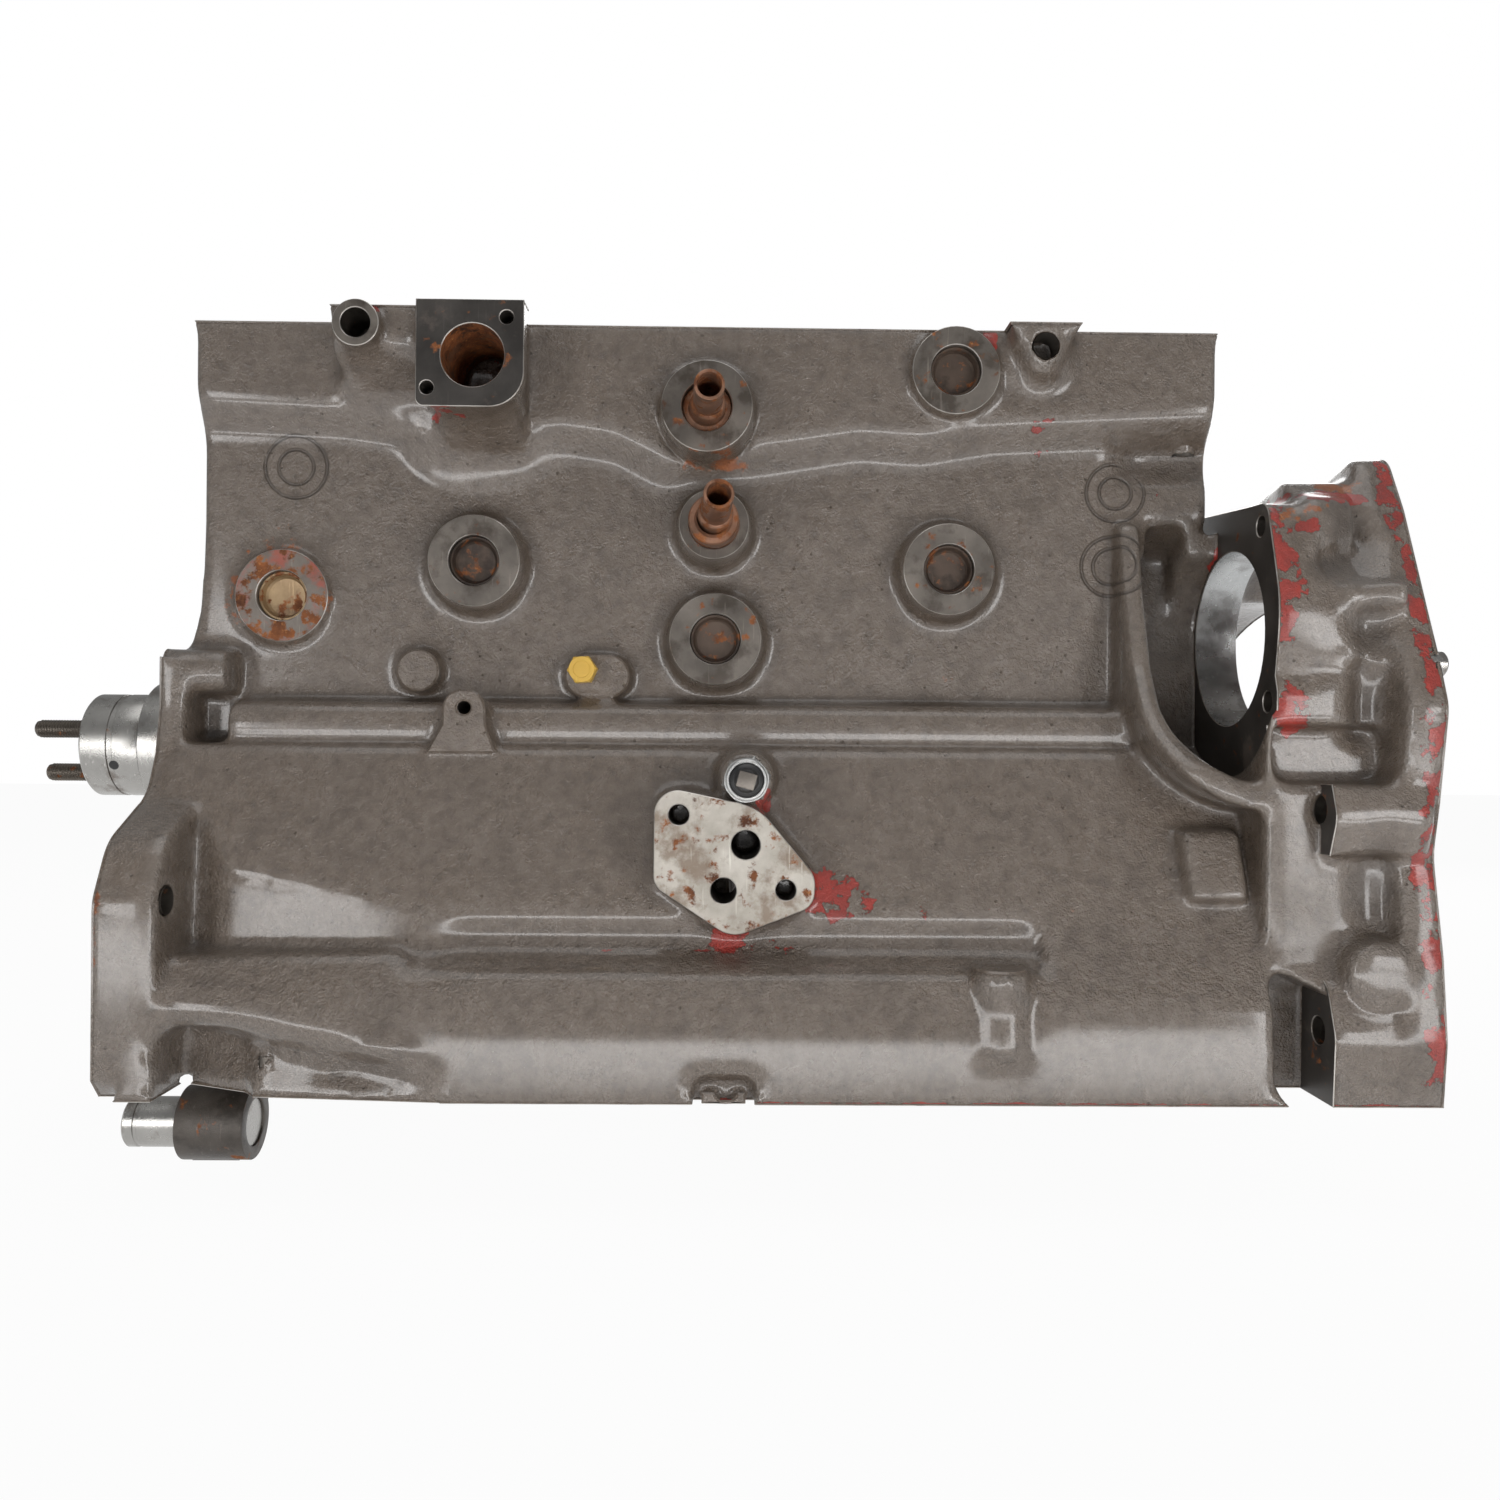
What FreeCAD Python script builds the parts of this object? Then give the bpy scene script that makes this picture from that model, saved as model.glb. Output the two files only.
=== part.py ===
"""Four-cylinder diesel engine block with integral flywheel housing, as bare machined castings.

Millimetres. The crankshaft axis is the X axis, +X to the flywheel end, +Z up through the
cylinders, and -Y the starter side. The origin is the middle of the centre main bearing.
"""
import FreeCAD, Part
import math
import os

V = FreeCAD.Vector

# Layout of the engine
CYLINDER_PITCH = 125.0
CYLINDERS = [CYLINDER_PITCH * (i - 1.5) for i in range(4)]
MAINS = [CYLINDER_PITCH * (i - 2) for i in range(5)]
DECK_Z = 338.0
SUMP_Z = -40.0
FRONT_X = -275.0
REAR_X = 338.0
BANK_X = (-264.0, 262.0)

# Crankcase and main bearings
MAIN_R = 42.0
BULKHEAD_HALF = 12.0
BULKHEAD_FOOT_Z = -36.0
CAP_HALF_WIDTH = 64.0
CAP_BOTTOM_Z = -62.0
CAP_SEAT_Z = -32.0
CAP_BOLT_Y = 53.0
RAIL_HALF = 165.0

# Cylinder bank
BORE_R = 49.2
BARREL_R = 58.5
JACKET_Z = (126.0, 322.0)
JACKET_HALF = 66.0
OUTER_HEAD_BOLTS = [(x, y) for x in (-251.0, 251.0) for y in (-66.0, 66.0)]
INNER_HEAD_BOLTS = [(x, y) for x in MAINS[1:4] for y in (-50.0, 50.0)]
HEAD_BOLT_R = 6.5
HEAD_BOLT_DEPTH = 60.0
HEAD_BOLT_COLUMN = 24.0
BAND_Y = -87.0
BANK_Y = -75.5
FAR_BAND_Y = 133.0
FAR_Y = 126.0

# Camshaft and tappets
CAM_Y = 99.0
CAM_Z = 128.0
CAM_BORE_R = 27.0
CAM_PLUG_R = 29.0
CAM_PLUG_X = (266.0, 274.0)
CAM_PLUG_BORE_X = (262.0, 276.0)
PUSHROD_CHAMBER_Y = (78.0, 117.0)
PUSHROD_CHAMBER_Z = (168.0, 320.0)

# Starter mounting
STARTER_Y = -91.0
STARTER_Z = 179.3
STARTER_R = 44.5
STARTER_FACE_X = 266.6
STARTER_BACK_X = 289.0
STARTER_HOLLOW_X = 224.0
STARTER_RELIEF_R = 47.5

# Flywheel housing
HOUSING_R = 208.0
HOUSING_WALL_R = 217.0
FLANGE_R = 238.0
FLANGE_FRONT_X = 320.0
REAR_WALL_X = 275.0
DOWEL_Y = 152.0
DOWEL_Z = 163.0
DOWEL_R = 6.0
DOWEL_SEAT_R = 5.5
DOWEL_RELIEF_R = 6.6
DOWEL_STEP = 1.0
SEAL_R = 55.0
FRONT_SEAL_R = 46.0

# Oil filter face
FILTER_FACE_Y = -150.0
FILTER_BOLTS = ((-11.9, 90.2), (38.1, 55.6))
FILTER_PORTS = ((19.3, 76.4, 6.8), (9.1, 55.1, 6.0))

# Timing face
IDLER_Y = -30.0
IDLER_Z = 120.5
HUB_FLANGE_R = 34.5
HUB_JOURNAL_R = 28.0
HUB_SEAT_R = 35.5
HUB_SEAT_DEPTH = 1.5
STUD_R = 5.0
STUD_START_X = -250.0
STUD_TIP_X = -370.0
PUMP_SHAFT_Y = -86.0
PUMP_SHAFT_Z = -72.0
PUMP_SHAFT_R = 12.5
PUMP_SEAT_R = 12.0
PUMP_BOSS_R = 18.6

# Core plugs: x, z, y of the machined ring face, radius of the ring
PLUGS = (
    (-221.0, 198.4, -81.0, 24.0),
    (-120.0, 216.0, -91.0, 23.5),
    (3.5, 177.0, -92.0, 23.5),
    (123.0, 214.0, -91.0, 23.5),
    (125.4, 315.2, -94.0, 22.5),
)
PLUG_R = 13.0
PLUG_DEPTH = 9.0
PLUG_RECESS = 3.0

# Coolant pipe stubs: x, z, boss radius, y of the boss face, y of the collar face, pipe end
PIPES = {
    "coolant_pipe_upper": (-1.5, 293.0, 23.0, -103.0, -99.0, V(0.5, -141.0, 292.5)),
    "coolant_pipe_lower": (2.4, 235.0, 17.8, -96.0, -109.0, V(5.4, -140.0, 241.4)),
}
PIPE_R = 7.4
PIPE_ROOT_R = 8.8
PIPE_ROOT = 11.0
PIPE_BORE_R = 5.7
PIPE_COLLAR_R = 12.7
PIPE_SEAT_Y = -92.0


# ---------------------------------------------------------------- helpers

def box(x, y, z):
    """Box between the low and high values in each pair."""
    return Part.makeBox(x[1] - x[0], y[1] - y[0], z[1] - z[0], V(x[0], y[0], z[0]))


def rod(start, end, radius):
    """Solid cylinder from start to end."""
    way = end - start
    return Part.makeCylinder(radius, way.Length, start, way)


def along_x(x, y, z, radius):
    """Cylinder along X between the two values of x."""
    return rod(V(x[0], y, z), V(x[1], y, z), radius)


def along_y(x, y, z, radius):
    """Cylinder along Y between the two values of y."""
    return rod(V(x, y[0], z), V(x, y[1], z), radius)


def upright(x, y, z, radius):
    """Cylinder along Z between the two values of z."""
    return rod(V(x, y, z[0]), V(x, y, z[1]), radius)


def outline(corners, place):
    """Closed wire through corners (u, v) or (u, v, radius), each radius a tangent arc."""
    points = [place(c[0], c[1]) for c in corners]
    count = len(corners)
    turns = []
    for i, corner in enumerate(corners):
        here = points[i]
        radius = corner[2] if len(corner) > 2 else 0.0
        if radius == 0.0:
            turns.append((here, None, here))
            continue
        back = (points[i - 1] - here).normalize()
        ahead = (points[(i + 1) % count] - here).normalize()
        half = back.getAngle(ahead) / 2
        reach = radius / math.tan(half)
        inward = (back + ahead).normalize()
        middle = here + inward * (radius / math.sin(half) - radius)
        turns.append((here + back * reach, middle, here + ahead * reach))
    edges = []
    for i, (start, middle, end) in enumerate(turns):
        if middle is not None:
            edges.append(Part.Arc(start, middle, end).toShape())
        following = turns[(i + 1) % count][0]
        if (following - end).Length > 1e-6:
            edges.append(Part.LineSegment(end, following).toShape())
    return Part.Wire(edges)


def plate_x(corners, x):
    """Outline in Y and Z, carried along X."""
    wire = outline(corners, lambda u, v: V(x[0], u, v))
    return Part.Face(wire).extrude(V(x[1] - x[0], 0, 0))


def plate_y(corners, y):
    """Outline in X and Z, carried along Y."""
    wire = outline(corners, lambda u, v: V(u, y[0], v))
    return Part.Face(wire).extrude(V(0, y[1] - y[0], 0))


def plate_z(corners, z):
    """Outline in X and Y, carried along Z."""
    wire = outline(corners, lambda u, v: V(u, v, z[0]))
    return Part.Face(wire).extrude(V(0, 0, z[1] - z[0]))


def loft_x(sections):
    """Loft through (x, corners) sections whose outlines are in Y and Z."""
    wires = [outline(corners, lambda u, v, x=x: V(x, u, v)) for x, corners in sections]
    return Part.makeLoft(wires, True, True)


def turned(corners, base, axis):
    """Turned solid: corners are (radius, height) or (radius, height, fillet) from base."""
    side = V(0, 0, 1) if abs(axis.z) < 0.5 else V(1, 0, 0)
    wire = outline(corners, lambda r, h: base + side * r + axis * h)
    return Part.Face(wire).revolve(base, axis, 360)


def fused(shapes):
    """One solid from many."""
    return shapes[0].multiFuse(shapes[1:]).removeSplitter()


def cut(shape, tools):
    """Shape with every tool taken away."""
    return shape.cut(tools)


NEAR = V(0, -1, 0)


# ---------------------------------------------------------------- casting: outside

def crankcase_outside():
    """Deep skirt: the wall slopes out in stages from the bank to the sump rail."""
    section = [
        (-60, 122), (-103, 122, 4), (-143, 34, 26), (-162, 4, 26), (-RAIL_HALF, SUMP_Z),
        (RAIL_HALF, SUMP_Z), (162, 4, 26), (143, 40, 30), (126, 104, 20), (126, 150), (-60, 150),
    ]
    skirt = plate_x(section, (BANK_X[0], REAR_X - 4))
    gallery = plate_x(
        [(-60, 121), (-95, 121, 3), (-99, 129, 8), (-97, 143, 9), (-60, 146)], (-243, 232)
    )
    return [skirt, gallery]


def bank_outside():
    """Cylinder bank: deck band, sloping shoulder, jacket wall and the mound of the threaded boss."""
    section = [
        (BAND_Y, DECK_Z), (BAND_Y, 303), (BANK_Y, 276), (BANK_Y, 110),
        (FAR_Y, 110), (FAR_Y, 292), (FAR_BAND_Y, 305), (FAR_BAND_Y, DECK_Z),
    ]
    shapes = [plate_x(section, BANK_X)]
    flare = [(-250, 160), (-250, 235), (-264, 235), (-266, 190, 90), (-274.5, 160)]
    shapes.append(plate_y(flare, (BANK_Y, BANK_Y + 30)))
    mound = [(BAND_Y, 298), (-113, 318, 8), (-113, DECK_Z), (BAND_Y, DECK_Z)]
    shapes.append(plate_x(mound, (-187, -139)))
    return shapes


def front_flange():
    """Timing face: wide below, necked at the idler hub, with the cover lugs."""
    near = [
        (-60, 165), (-99, 165), (-99, 140), (-103, 116, 14), (-112, 96, 24), (-150, 76, 26),
        (-163.5, 50, 20), (-163.5, -31), (-156, SUMP_Z),
    ]
    far = [
        (156, SUMP_Z), (163.5, -31), (163.5, 60), (150, 78), (134, 110), (134, 184), (108, 205), (70, 205),
    ]
    shapes = [plate_x(near + far + [(0, 205)], (FRONT_X, -262))]
    for side in (-1, 1):
        foot = [(100, 30), (120, 92), (150, 76, 26), (163.5, 50, 20), (163.5, -31), (156, SUMP_Z),
                (100, SUMP_Z)]
        shapes.append(plate_x([(side * c[0], *c[1:]) for c in foot], (FRONT_X, -247)))
    shapes.append(plate_x([(-70, 148), (-93, 147.5, 6), (-99.5, 158, 7), (-93, 169.5, 6), (-70, 170)],
                          (FRONT_X, -243)))
    return shapes


def housing_outside():
    """Flywheel housing: rear wall, arch, flange lip and the nose behind the starter."""
    reach = plate_x([(-150, SUMP_Z), (-150, 150), (-112, 262), (0, 262), (230, 262), (198, SUMP_Z)],
                    (255, 345))
    arch = along_x((262, REAR_X), 0, 0, HOUSING_WALL_R).common(reach)
    lip = along_x((FLANGE_FRONT_X, REAR_X), 0, 0, FLANGE_R).common(reach)
    lobe = plate_x(
        [(0, 200), (-60, 262, 40), (-110, 271, 14), (-127, 240, 30), (-148, 190, 60),
         (-167, 143, 20), (-160, 98, 40), (-155, 74, 30), (-164, 28, 40), (-168, -10, 30),
         (-RAIL_HALF, SUMP_Z), (0, SUMP_Z)], (FLANGE_FRONT_X, REAR_X))
    nose = along_x((STARTER_BACK_X - 10, REAR_X - 8), STARTER_Y, STARTER_Z, 60)
    bridge = plate_x([(-20, 150), (-20, 236), (-60, 252), (-112, 258, 16), (-140, 225, 20)],
                     (284, REAR_X - 6))
    return [arch, lip, lobe, nose, bridge]


def starter_pad():
    """Three-cornered plate that the starter bolts to."""
    corners = [
        (-112, 243, 12), (-137, 241, 10), (-153, 190, 60), (-144, 137, 18), (-70, 127, 24),
        (-22, 180, 20), (-19, 222, 14), (-40, 250, 16),
    ]
    return plate_x(corners, (STARTER_FACE_X, STARTER_BACK_X))


def housing_ribs():
    """Bosses and ribs between the starter plate and the flange, starter side."""
    rib = plate_z([(284, -120), (284, -146, 6), (300, -152, 8), (326, -158), (326, -120)],
                  (189, 202))
    upper = plate_x([(-60, 246), (-112, 252, 14), (-138, 243, 10), (-149, 214, 14), (-60, 208)], (286, 312))
    lower = plate_x([(-90, 168), (-146, 166, 12), (-152, 146, 12), (-138, 134, 8), (-90, 132)], (286, 316))
    bolt = along_x((300, REAR_X - 6), -142, 170, 12)
    web = plate_y([(250, 240), (264, 236), (272, 236), (272, 180), (250, 180)], (-76, -12))
    return [rib, upper, lower, bolt, web]


def rear_lugs():
    """Half-round bosses that carry the lower flange bolts, both sides."""
    shapes = []
    for side in (-1, 1):
        upper = plate_x([(side * 110, 118), (side * 158, 116, 12), (side * 167, 92, 12),
                         (side * 160, 74), (side * 110, 74)], (287, REAR_X - 4))
        lower = plate_x([(side * 120, 20), (side * 158, 16, 10), (side * 167, -8, 12),
                         (side * RAIL_HALF, SUMP_Z), (side * 120, SUMP_Z)], (287, REAR_X - 4))
        shapes += [upper, lower]
    return shapes + [Part.makeCone(24, 15, 50, V(310, -116, 20), NEAR)]


def side_boss(x, z, face_y, radius, flare=5.0):
    """Round boss that widens towards the wall; its top is the machined ring face."""
    root_y = BANK_Y + 8
    boss = Part.makeCone(radius + flare, radius, root_y - face_y, V(x, root_y, z), NEAR)
    if z + radius + flare > DECK_Z:
        boss = boss.common(box((x - 50, x + 50), (-200, 0), (0, DECK_Z)))
    return boss


def side_bosses():
    """Every round boss on the jacket wall and the deck band."""
    shapes = [side_boss(x, z, y, r) for x, z, y, r in PLUGS]
    shapes += [side_boss(x, z, y, r) for x, z, r, y, _, _ in PIPES.values()]
    shapes.append(along_y(-172, (-121, -90), 326.5, 11.4))
    shapes.append(Part.makeCone(13, 10.8, 21, V(-149, -66, 160), NEAR))
    return shapes


def water_port():
    """Square coolant flange, flush with the deck, on a body that grows out of the band."""
    body = plate_x([(-70, 262), (-82, 272, 10), (-110, 290, 6), (-110, DECK_Z), (-70, DECK_Z)],
                   (-139, -94))
    flange = plate_y([(-142.5, 286, 4), (-90, 286, 17), (-90, DECK_Z), (-142.5, DECK_Z)], (-122, -108))
    return [body, flange]


def small_brackets():
    """Ear on the deck band, sling ear on the gallery and oval drain pad."""
    ear = plate_y([(151, DECK_Z), (160, 318), (164, 310, 5), (175, 310, 5), (179, 318), (188, DECK_Z)],
                  (-101, -80))
    sling = plate_y([(-139, 118), (-131.5, 132), (-131, 149.5, 9.5), (-110.5, 149.5, 9.5),
                     (-110, 132), (-105, 118)], (-108, -92))
    pad = plate_y([(-73.5, 146.7, 10.9), (-73.5, 168.7, 10.9), (-40.3, 168.7, 10.9),
                   (-40.3, 146.7, 10.9)], (-89, -70))
    return [ear, sling, pad]


def filter_pad():
    """Flat face for the oil filter head and the round boss of the pressure switch."""
    corners = [(-23.4, 104, 11), (25, 94, 26), (52, 62, 12), (51, 48, 9), (13, 33, 14), (-23.4, 57, 9)]
    face = plate_y(corners, (FILTER_FACE_Y, -90))
    return [face, Part.makeCone(16, 13.5, 38, V(19.4, -98, 106.5), NEAR)]


def skirt_forms():
    """Cast forms low on the starter side: dipstick boss and raised tab."""
    boss = Part.makeCone(15.5, 13, 40, V(137, -153.5, -19))
    tab = plate_x([(-100, 84), (-132, 84, 2), (-145, 52), (-100, 40)], (229, 258))
    return [boss, tab]


# ---------------------------------------------------------------- casting: inside

def crankcase_inside():
    """Four crank bays between the bulkheads, open to the sump."""
    shapes = []
    for left, right in zip(MAINS[:-1], MAINS[1:]):
        bay = plate_x(
            [(-134, SUMP_Z - 1), (-134, 6), (-88, 100), (88, 100), (134, 6), (134, SUMP_Z - 1)],
            (left + BULKHEAD_HALF, right - BULKHEAD_HALF))
        shapes.append(bay)
    shapes.append(box((FRONT_X + 13, BANK_X[1]), (-134, 134), (SUMP_Z - 1, BULKHEAD_FOOT_Z)))
    return shapes


def main_bearing_cuts():
    """Line bore and the registers that locate the caps."""
    shapes = [along_x((FRONT_X - 1, REAR_X + 1), 0, 0, MAIN_R),
              along_x((FRONT_X - 1, MAINS[0] - BULKHEAD_HALF), 0, 0, FRONT_SEAL_R),
              along_x((MAINS[4] + BULKHEAD_HALF, REAR_X), 0, 0, SEAL_R)]
    for x in MAINS:
        shapes.append(box((x - 30, x + 30), (-CAP_HALF_WIDTH, CAP_HALF_WIDTH), (SUMP_Z - 1, 0)))
    return shapes


def cylinder_bores():
    """Four bores through the deck into the crank bays."""
    return [upright(x, 0, (90, DECK_Z + 1), BORE_R) for x in CYLINDERS]


def water_jacket():
    """Coolant space round the barrels, closed beside the starter, with a column for each head bolt."""
    cavity = plate_z(
        [(-250, -JACKET_HALF + 20), (-234, -JACKET_HALF), (196, -JACKET_HALF), (204, -55), (232, -30),
         (250, -22), (250, JACKET_HALF - 20), (234, JACKET_HALF), (-234, JACKET_HALF),
         (-250, JACKET_HALF - 20)],
        JACKET_Z)
    barrels = [upright(x, 0, (JACKET_Z[0] - 1, JACKET_Z[1] + 1), BARREL_R) for x in CYLINDERS]
    half = HEAD_BOLT_COLUMN / 2
    columns = [box((x - half, x + half), (y - half, y + half), (JACKET_Z[0] - 1, JACKET_Z[1] + 1))
               for x, y in INNER_HEAD_BOLTS]
    return [cavity.cut(barrels + columns)]


def camshaft_cuts():
    """Camshaft tunnel, and the pushrod chamber with a window through the deck for each cylinder."""
    shapes = [along_x((FRONT_X - 1, CAM_PLUG_BORE_X[0] + 1), CAM_Y, CAM_Z, CAM_BORE_R),
              along_x(CAM_PLUG_BORE_X, CAM_Y, CAM_Z, CAM_PLUG_R)]
    shapes.append(box((-246, 246), PUSHROD_CHAMBER_Y, PUSHROD_CHAMBER_Z))
    for x in CYLINDERS:
        window = [(x - 38, 84), (x - 32, 80), (x + 32, 80), (x + 38, 84), (x + 38, 107), (x + 32, 111),
                  (x - 32, 111), (x - 38, 107)]
        shapes.append(plate_z(window, (PUSHROD_CHAMBER_Z[1] - 1, DECK_Z + 1)))
    return shapes


def deck_holes():
    """Tapped holes for the head bolts, two beside each end of every cylinder."""
    bottom = DECK_Z - HEAD_BOLT_DEPTH
    return [upright(x, y, (bottom, DECK_Z + 1), HEAD_BOLT_R)
            for x, y in OUTER_HEAD_BOLTS + INNER_HEAD_BOLTS]


def sump_holes():
    """Tapped holes along both sump rails."""
    return [upright(x, side * 150, (SUMP_Z - 1, SUMP_Z + 18), 4.3)
            for x in (-200, 200) for side in (-1, 1)]


def housing_inside():
    """Flywheel space, open to the rear and below, and the starter bore."""
    drum = along_x((STARTER_BACK_X, REAR_X + 1), 0, 0, HOUSING_R)
    side_limit = plate_x([(-132, -60), (-132, 110), (-136, 160), (-104, 240), (110, 240), (175, 130),
                          (132, 112), (132, -60)], (STARTER_BACK_X - 1, REAR_X + 2))
    pinion = along_x((STARTER_BACK_X, REAR_X + 1), STARTER_Y, STARTER_Z, 49)
    bore = along_x((STARTER_FACE_X - 1, REAR_X), STARTER_Y, STARTER_Z, STARTER_R)
    relief = along_x((STARTER_HOLLOW_X, STARTER_FACE_X), STARTER_Y, STARTER_Z, STARTER_RELIEF_R)
    thin_wall = along_x((REAR_WALL_X, STARTER_BACK_X + 1), 0, 0, 196)
    thin_wall = thin_wall.common(box((REAR_WALL_X, REAR_X), (-34, 170), (56, 300)))
    return [drum.common(side_limit), pinion, bore, relief, thin_wall]


def starter_scoop():
    """Hollow in the side for the starter body, bounded by the curved gutter ridge."""
    scoop = plate_y([(STARTER_HOLLOW_X, 300), (STARTER_HOLLOW_X, 107, 40), (STARTER_FACE_X + 30, 107), (STARTER_FACE_X + 30, 300)],
                    (-260, -46))
    scoop = scoop.common(along_x((230, STARTER_FACE_X), STARTER_Y, STARTER_Z - 4, 68))
    behind = plate_y([(STARTER_FACE_X - 1, 134), (STARTER_FACE_X - 1, 107, 8), (FLANGE_FRONT_X, 107, 8),
                      (FLANGE_FRONT_X, 134, 3)], (-260, -139))
    return [scoop, behind]


def gutter_ridge():
    """Rounded bead that runs down the front of the starter hollow and turns under it."""
    inner = STARTER_HOLLOW_X
    band = plate_y([(inner - 12, 240), (inner - 12, 94, 52), (FLANGE_FRONT_X, 94), (FLANGE_FRONT_X, 107),
                    (inner, 107, 40), (inner, 240)], (-160, -60))
    top = plate_x([(-60, 240), (-84, 240), (-92, 205), (-105, 165), (-126, 133), (-147, 112), (-150, 94),
                   (-60, 94)], (200, FLANGE_FRONT_X + 1))
    return band.common(top)


def starter_holes():
    """Tapped holes of the starter flange."""
    spots = ((-130, 230.5), (-139, 145.5))
    return [along_x((STARTER_FACE_X - 1, STARTER_BACK_X + 1), y, z, 5.1) for y, z in spots]


def skirt_cuts():
    """Front pockets, long swage, bolt recesses and the rail notch on the starter side."""
    pocket = loft_x([
        (-247, [(-118, 98), (-200, 98), (-200, 22), (-124, 24)]),
        (-230, [(-128, 60), (-200, 60), (-200, 22), (-132, 24)]),
        (-128, [(-139.5, 43), (-200, 43), (-200, 26), (-141, 26)]),
    ])
    swage = plate_x([(-139.5, 44, 2), (-139.5, 25.5, 3), (-162, 11, 0), (-200, 11), (-200, 44)], (-140, 160))
    scoop = loft_x([
        (-247, [(-132, -8), (-210, -8), (-210, -60), (-132, -60)]),
        (-212, [(-144, -10), (-210, -10), (-210, -60), (-150, -60)]),
        (-205, [(-153, -12), (-210, -12), (-210, -60), (-158, -60)]),
        (-118, [(-163.4, -24), (-210, -20), (-210, -60), (-164.8, -60)]),
    ])
    recess = plate_y([(263, 22, 6), (287, 10), (287, -50), (272, -50), (262, -30, 6)], (-200, -132))
    panel = plate_y([(299, 74, 4), (299, 50, 10), (322, 30, 6), (FLANGE_FRONT_X, 74, 3)], (-200, -157))
    notch = plate_y([(-4, -50), (-4, -28, 3), (24, -28, 3), (24, -50)], (-200, -157))
    return [pocket, swage, scoop, recess, panel, notch]


def rail_notch_parts():
    """Small tab with a half-round notch, inside the rail window."""
    tab = plate_y([(0, -35), (20, -35), (20, SUMP_Z), (0, SUMP_Z)], (-163, -150))
    return [tab.cut(along_y(11, (-170, -140), -33.5, 5.5))]


def side_holes():
    """Bores and tapped holes on the starter side."""
    inner_y = -JACKET_HALF + 1
    shapes = [along_y(x, (face_y - 1, inner_y), z, PLUG_R) for x, z, face_y, _ in PLUGS]
    for x, z, _, face_y, _, _ in PIPES.values():
        shapes.append(along_y(x, (face_y - 1, PIPE_SEAT_Y), z, PIPE_COLLAR_R))
    shapes.append(along_y(-115, (-123, inner_y), 311, 15.5))
    shapes += [along_y(x, (-123, -106), z, 3.4) for x, z in ((-98.5, 329.5), (-137, 295))]
    shapes.append(along_y(-172, (-123, -90), 326.5, 7.3))
    shapes.append(along_y(169.5, (-102, -84), 326, 6.5))
    shapes.append(along_y(-120.8, (-109, -80), 140.4, 3.3))
    shapes += [along_y(x, (FILTER_FACE_Y - 1, FILTER_FACE_Y + 24), z, 4.8) for x, z in FILTER_BOLTS]
    shapes += [along_y(x, (FILTER_FACE_Y - 1, FILTER_FACE_Y + 44), z, r) for x, z, r in FILTER_PORTS]
    return shapes


def end_holes():
    """Holes for the hub studs, the front lugs and the bolts of the rear flange."""
    shapes = [along_x((FRONT_X - 1, STUD_START_X), y, z, STUD_R) for y, z in stud_places()]
    shapes.append(along_x((FRONT_X - 1, FRONT_X + HUB_SEAT_DEPTH), IDLER_Y, IDLER_Z, HUB_SEAT_R))
    for side in (-1, 1):
        shapes.append(along_x((FRONT_X - 1, -240), side * 150, 49, 6.6))
        shapes += [along_x((286, REAR_X + 1), side * 150, z, 6.6) for z in (95, -8)]
        shapes.append(along_x((REAR_X - 12, REAR_X + 1), side * DOWEL_Y, DOWEL_Z, DOWEL_SEAT_R))
        shapes.append(along_x((REAR_X - DOWEL_STEP, REAR_X + 1), side * DOWEL_Y, DOWEL_Z, DOWEL_RELIEF_R))
    return shapes


def block_casting():
    """The whole block as one casting."""
    outside = (crankcase_outside() + bank_outside() + front_flange() + housing_outside()
               + rear_lugs() + side_bosses() + water_port() + small_brackets() + [gutter_ridge()])
    block = fused(outside)
    block = cut(block, starter_scoop() + skirt_cuts())
    block = fused([block, starter_pad()] + housing_ribs() + filter_pad() + skirt_forms()
                  + rail_notch_parts())
    block = cut(block, crankcase_inside() + main_bearing_cuts() + cylinder_bores() + water_jacket()
                + camshaft_cuts() + housing_inside())
    return cut(block, deck_holes() + sump_holes() + starter_holes() + side_holes() + end_holes())


# ---------------------------------------------------------------- separate pieces

def main_bearing_cap(x):
    """Arched cap with flat bolt seats."""
    w = CAP_HALF_WIDTH
    cap = plate_x([(-w, 0), (-w, CAP_SEAT_Z), (-42, CAP_SEAT_Z), (-30, CAP_BOTTOM_Z), (30, CAP_BOTTOM_Z),
                   (42, CAP_SEAT_Z), (w, CAP_SEAT_Z), (w, 0)], (x - BULKHEAD_HALF, x + BULKHEAD_HALF))
    return cap.cut(along_x((x - 20, x + 20), 0, 0, MAIN_R))


def front_cap():
    """Front main cap with the arm that holds the oil pump idler shaft."""
    x = MAINS[0]
    arm = plate_x([(-46, -44), (-64, -44), (-100, -60), (-86, -92), (-28, -61), (-38, -42)],
                  (x - BULKHEAD_HALF, x + BULKHEAD_HALF))
    boss = along_x((-264, -230), PUMP_SHAFT_Y, PUMP_SHAFT_Z, PUMP_BOSS_R)
    cap = fused([main_bearing_cap(x), arm, boss])
    return cap.cut(along_x((-265, -229), PUMP_SHAFT_Y, PUMP_SHAFT_Z, PUMP_SEAT_R))


def hex_head(base, axis, across_flats, height):
    """Hexagon standing on base along axis."""
    circumradius = across_flats / math.sqrt(3)
    side = V(1, 0, 0) if abs(axis.x) < 0.5 else V(0, 1, 0)
    other = axis.cross(side)
    points = []
    for i in range(6):
        angle = math.radians(60 * i)
        points.append(base + side * (circumradius * math.cos(angle)) + other * (circumradius * math.sin(angle)))
    face = Part.Face(Part.makePolygon(points + points[:1]))
    return face.extrude(axis * height)


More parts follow.
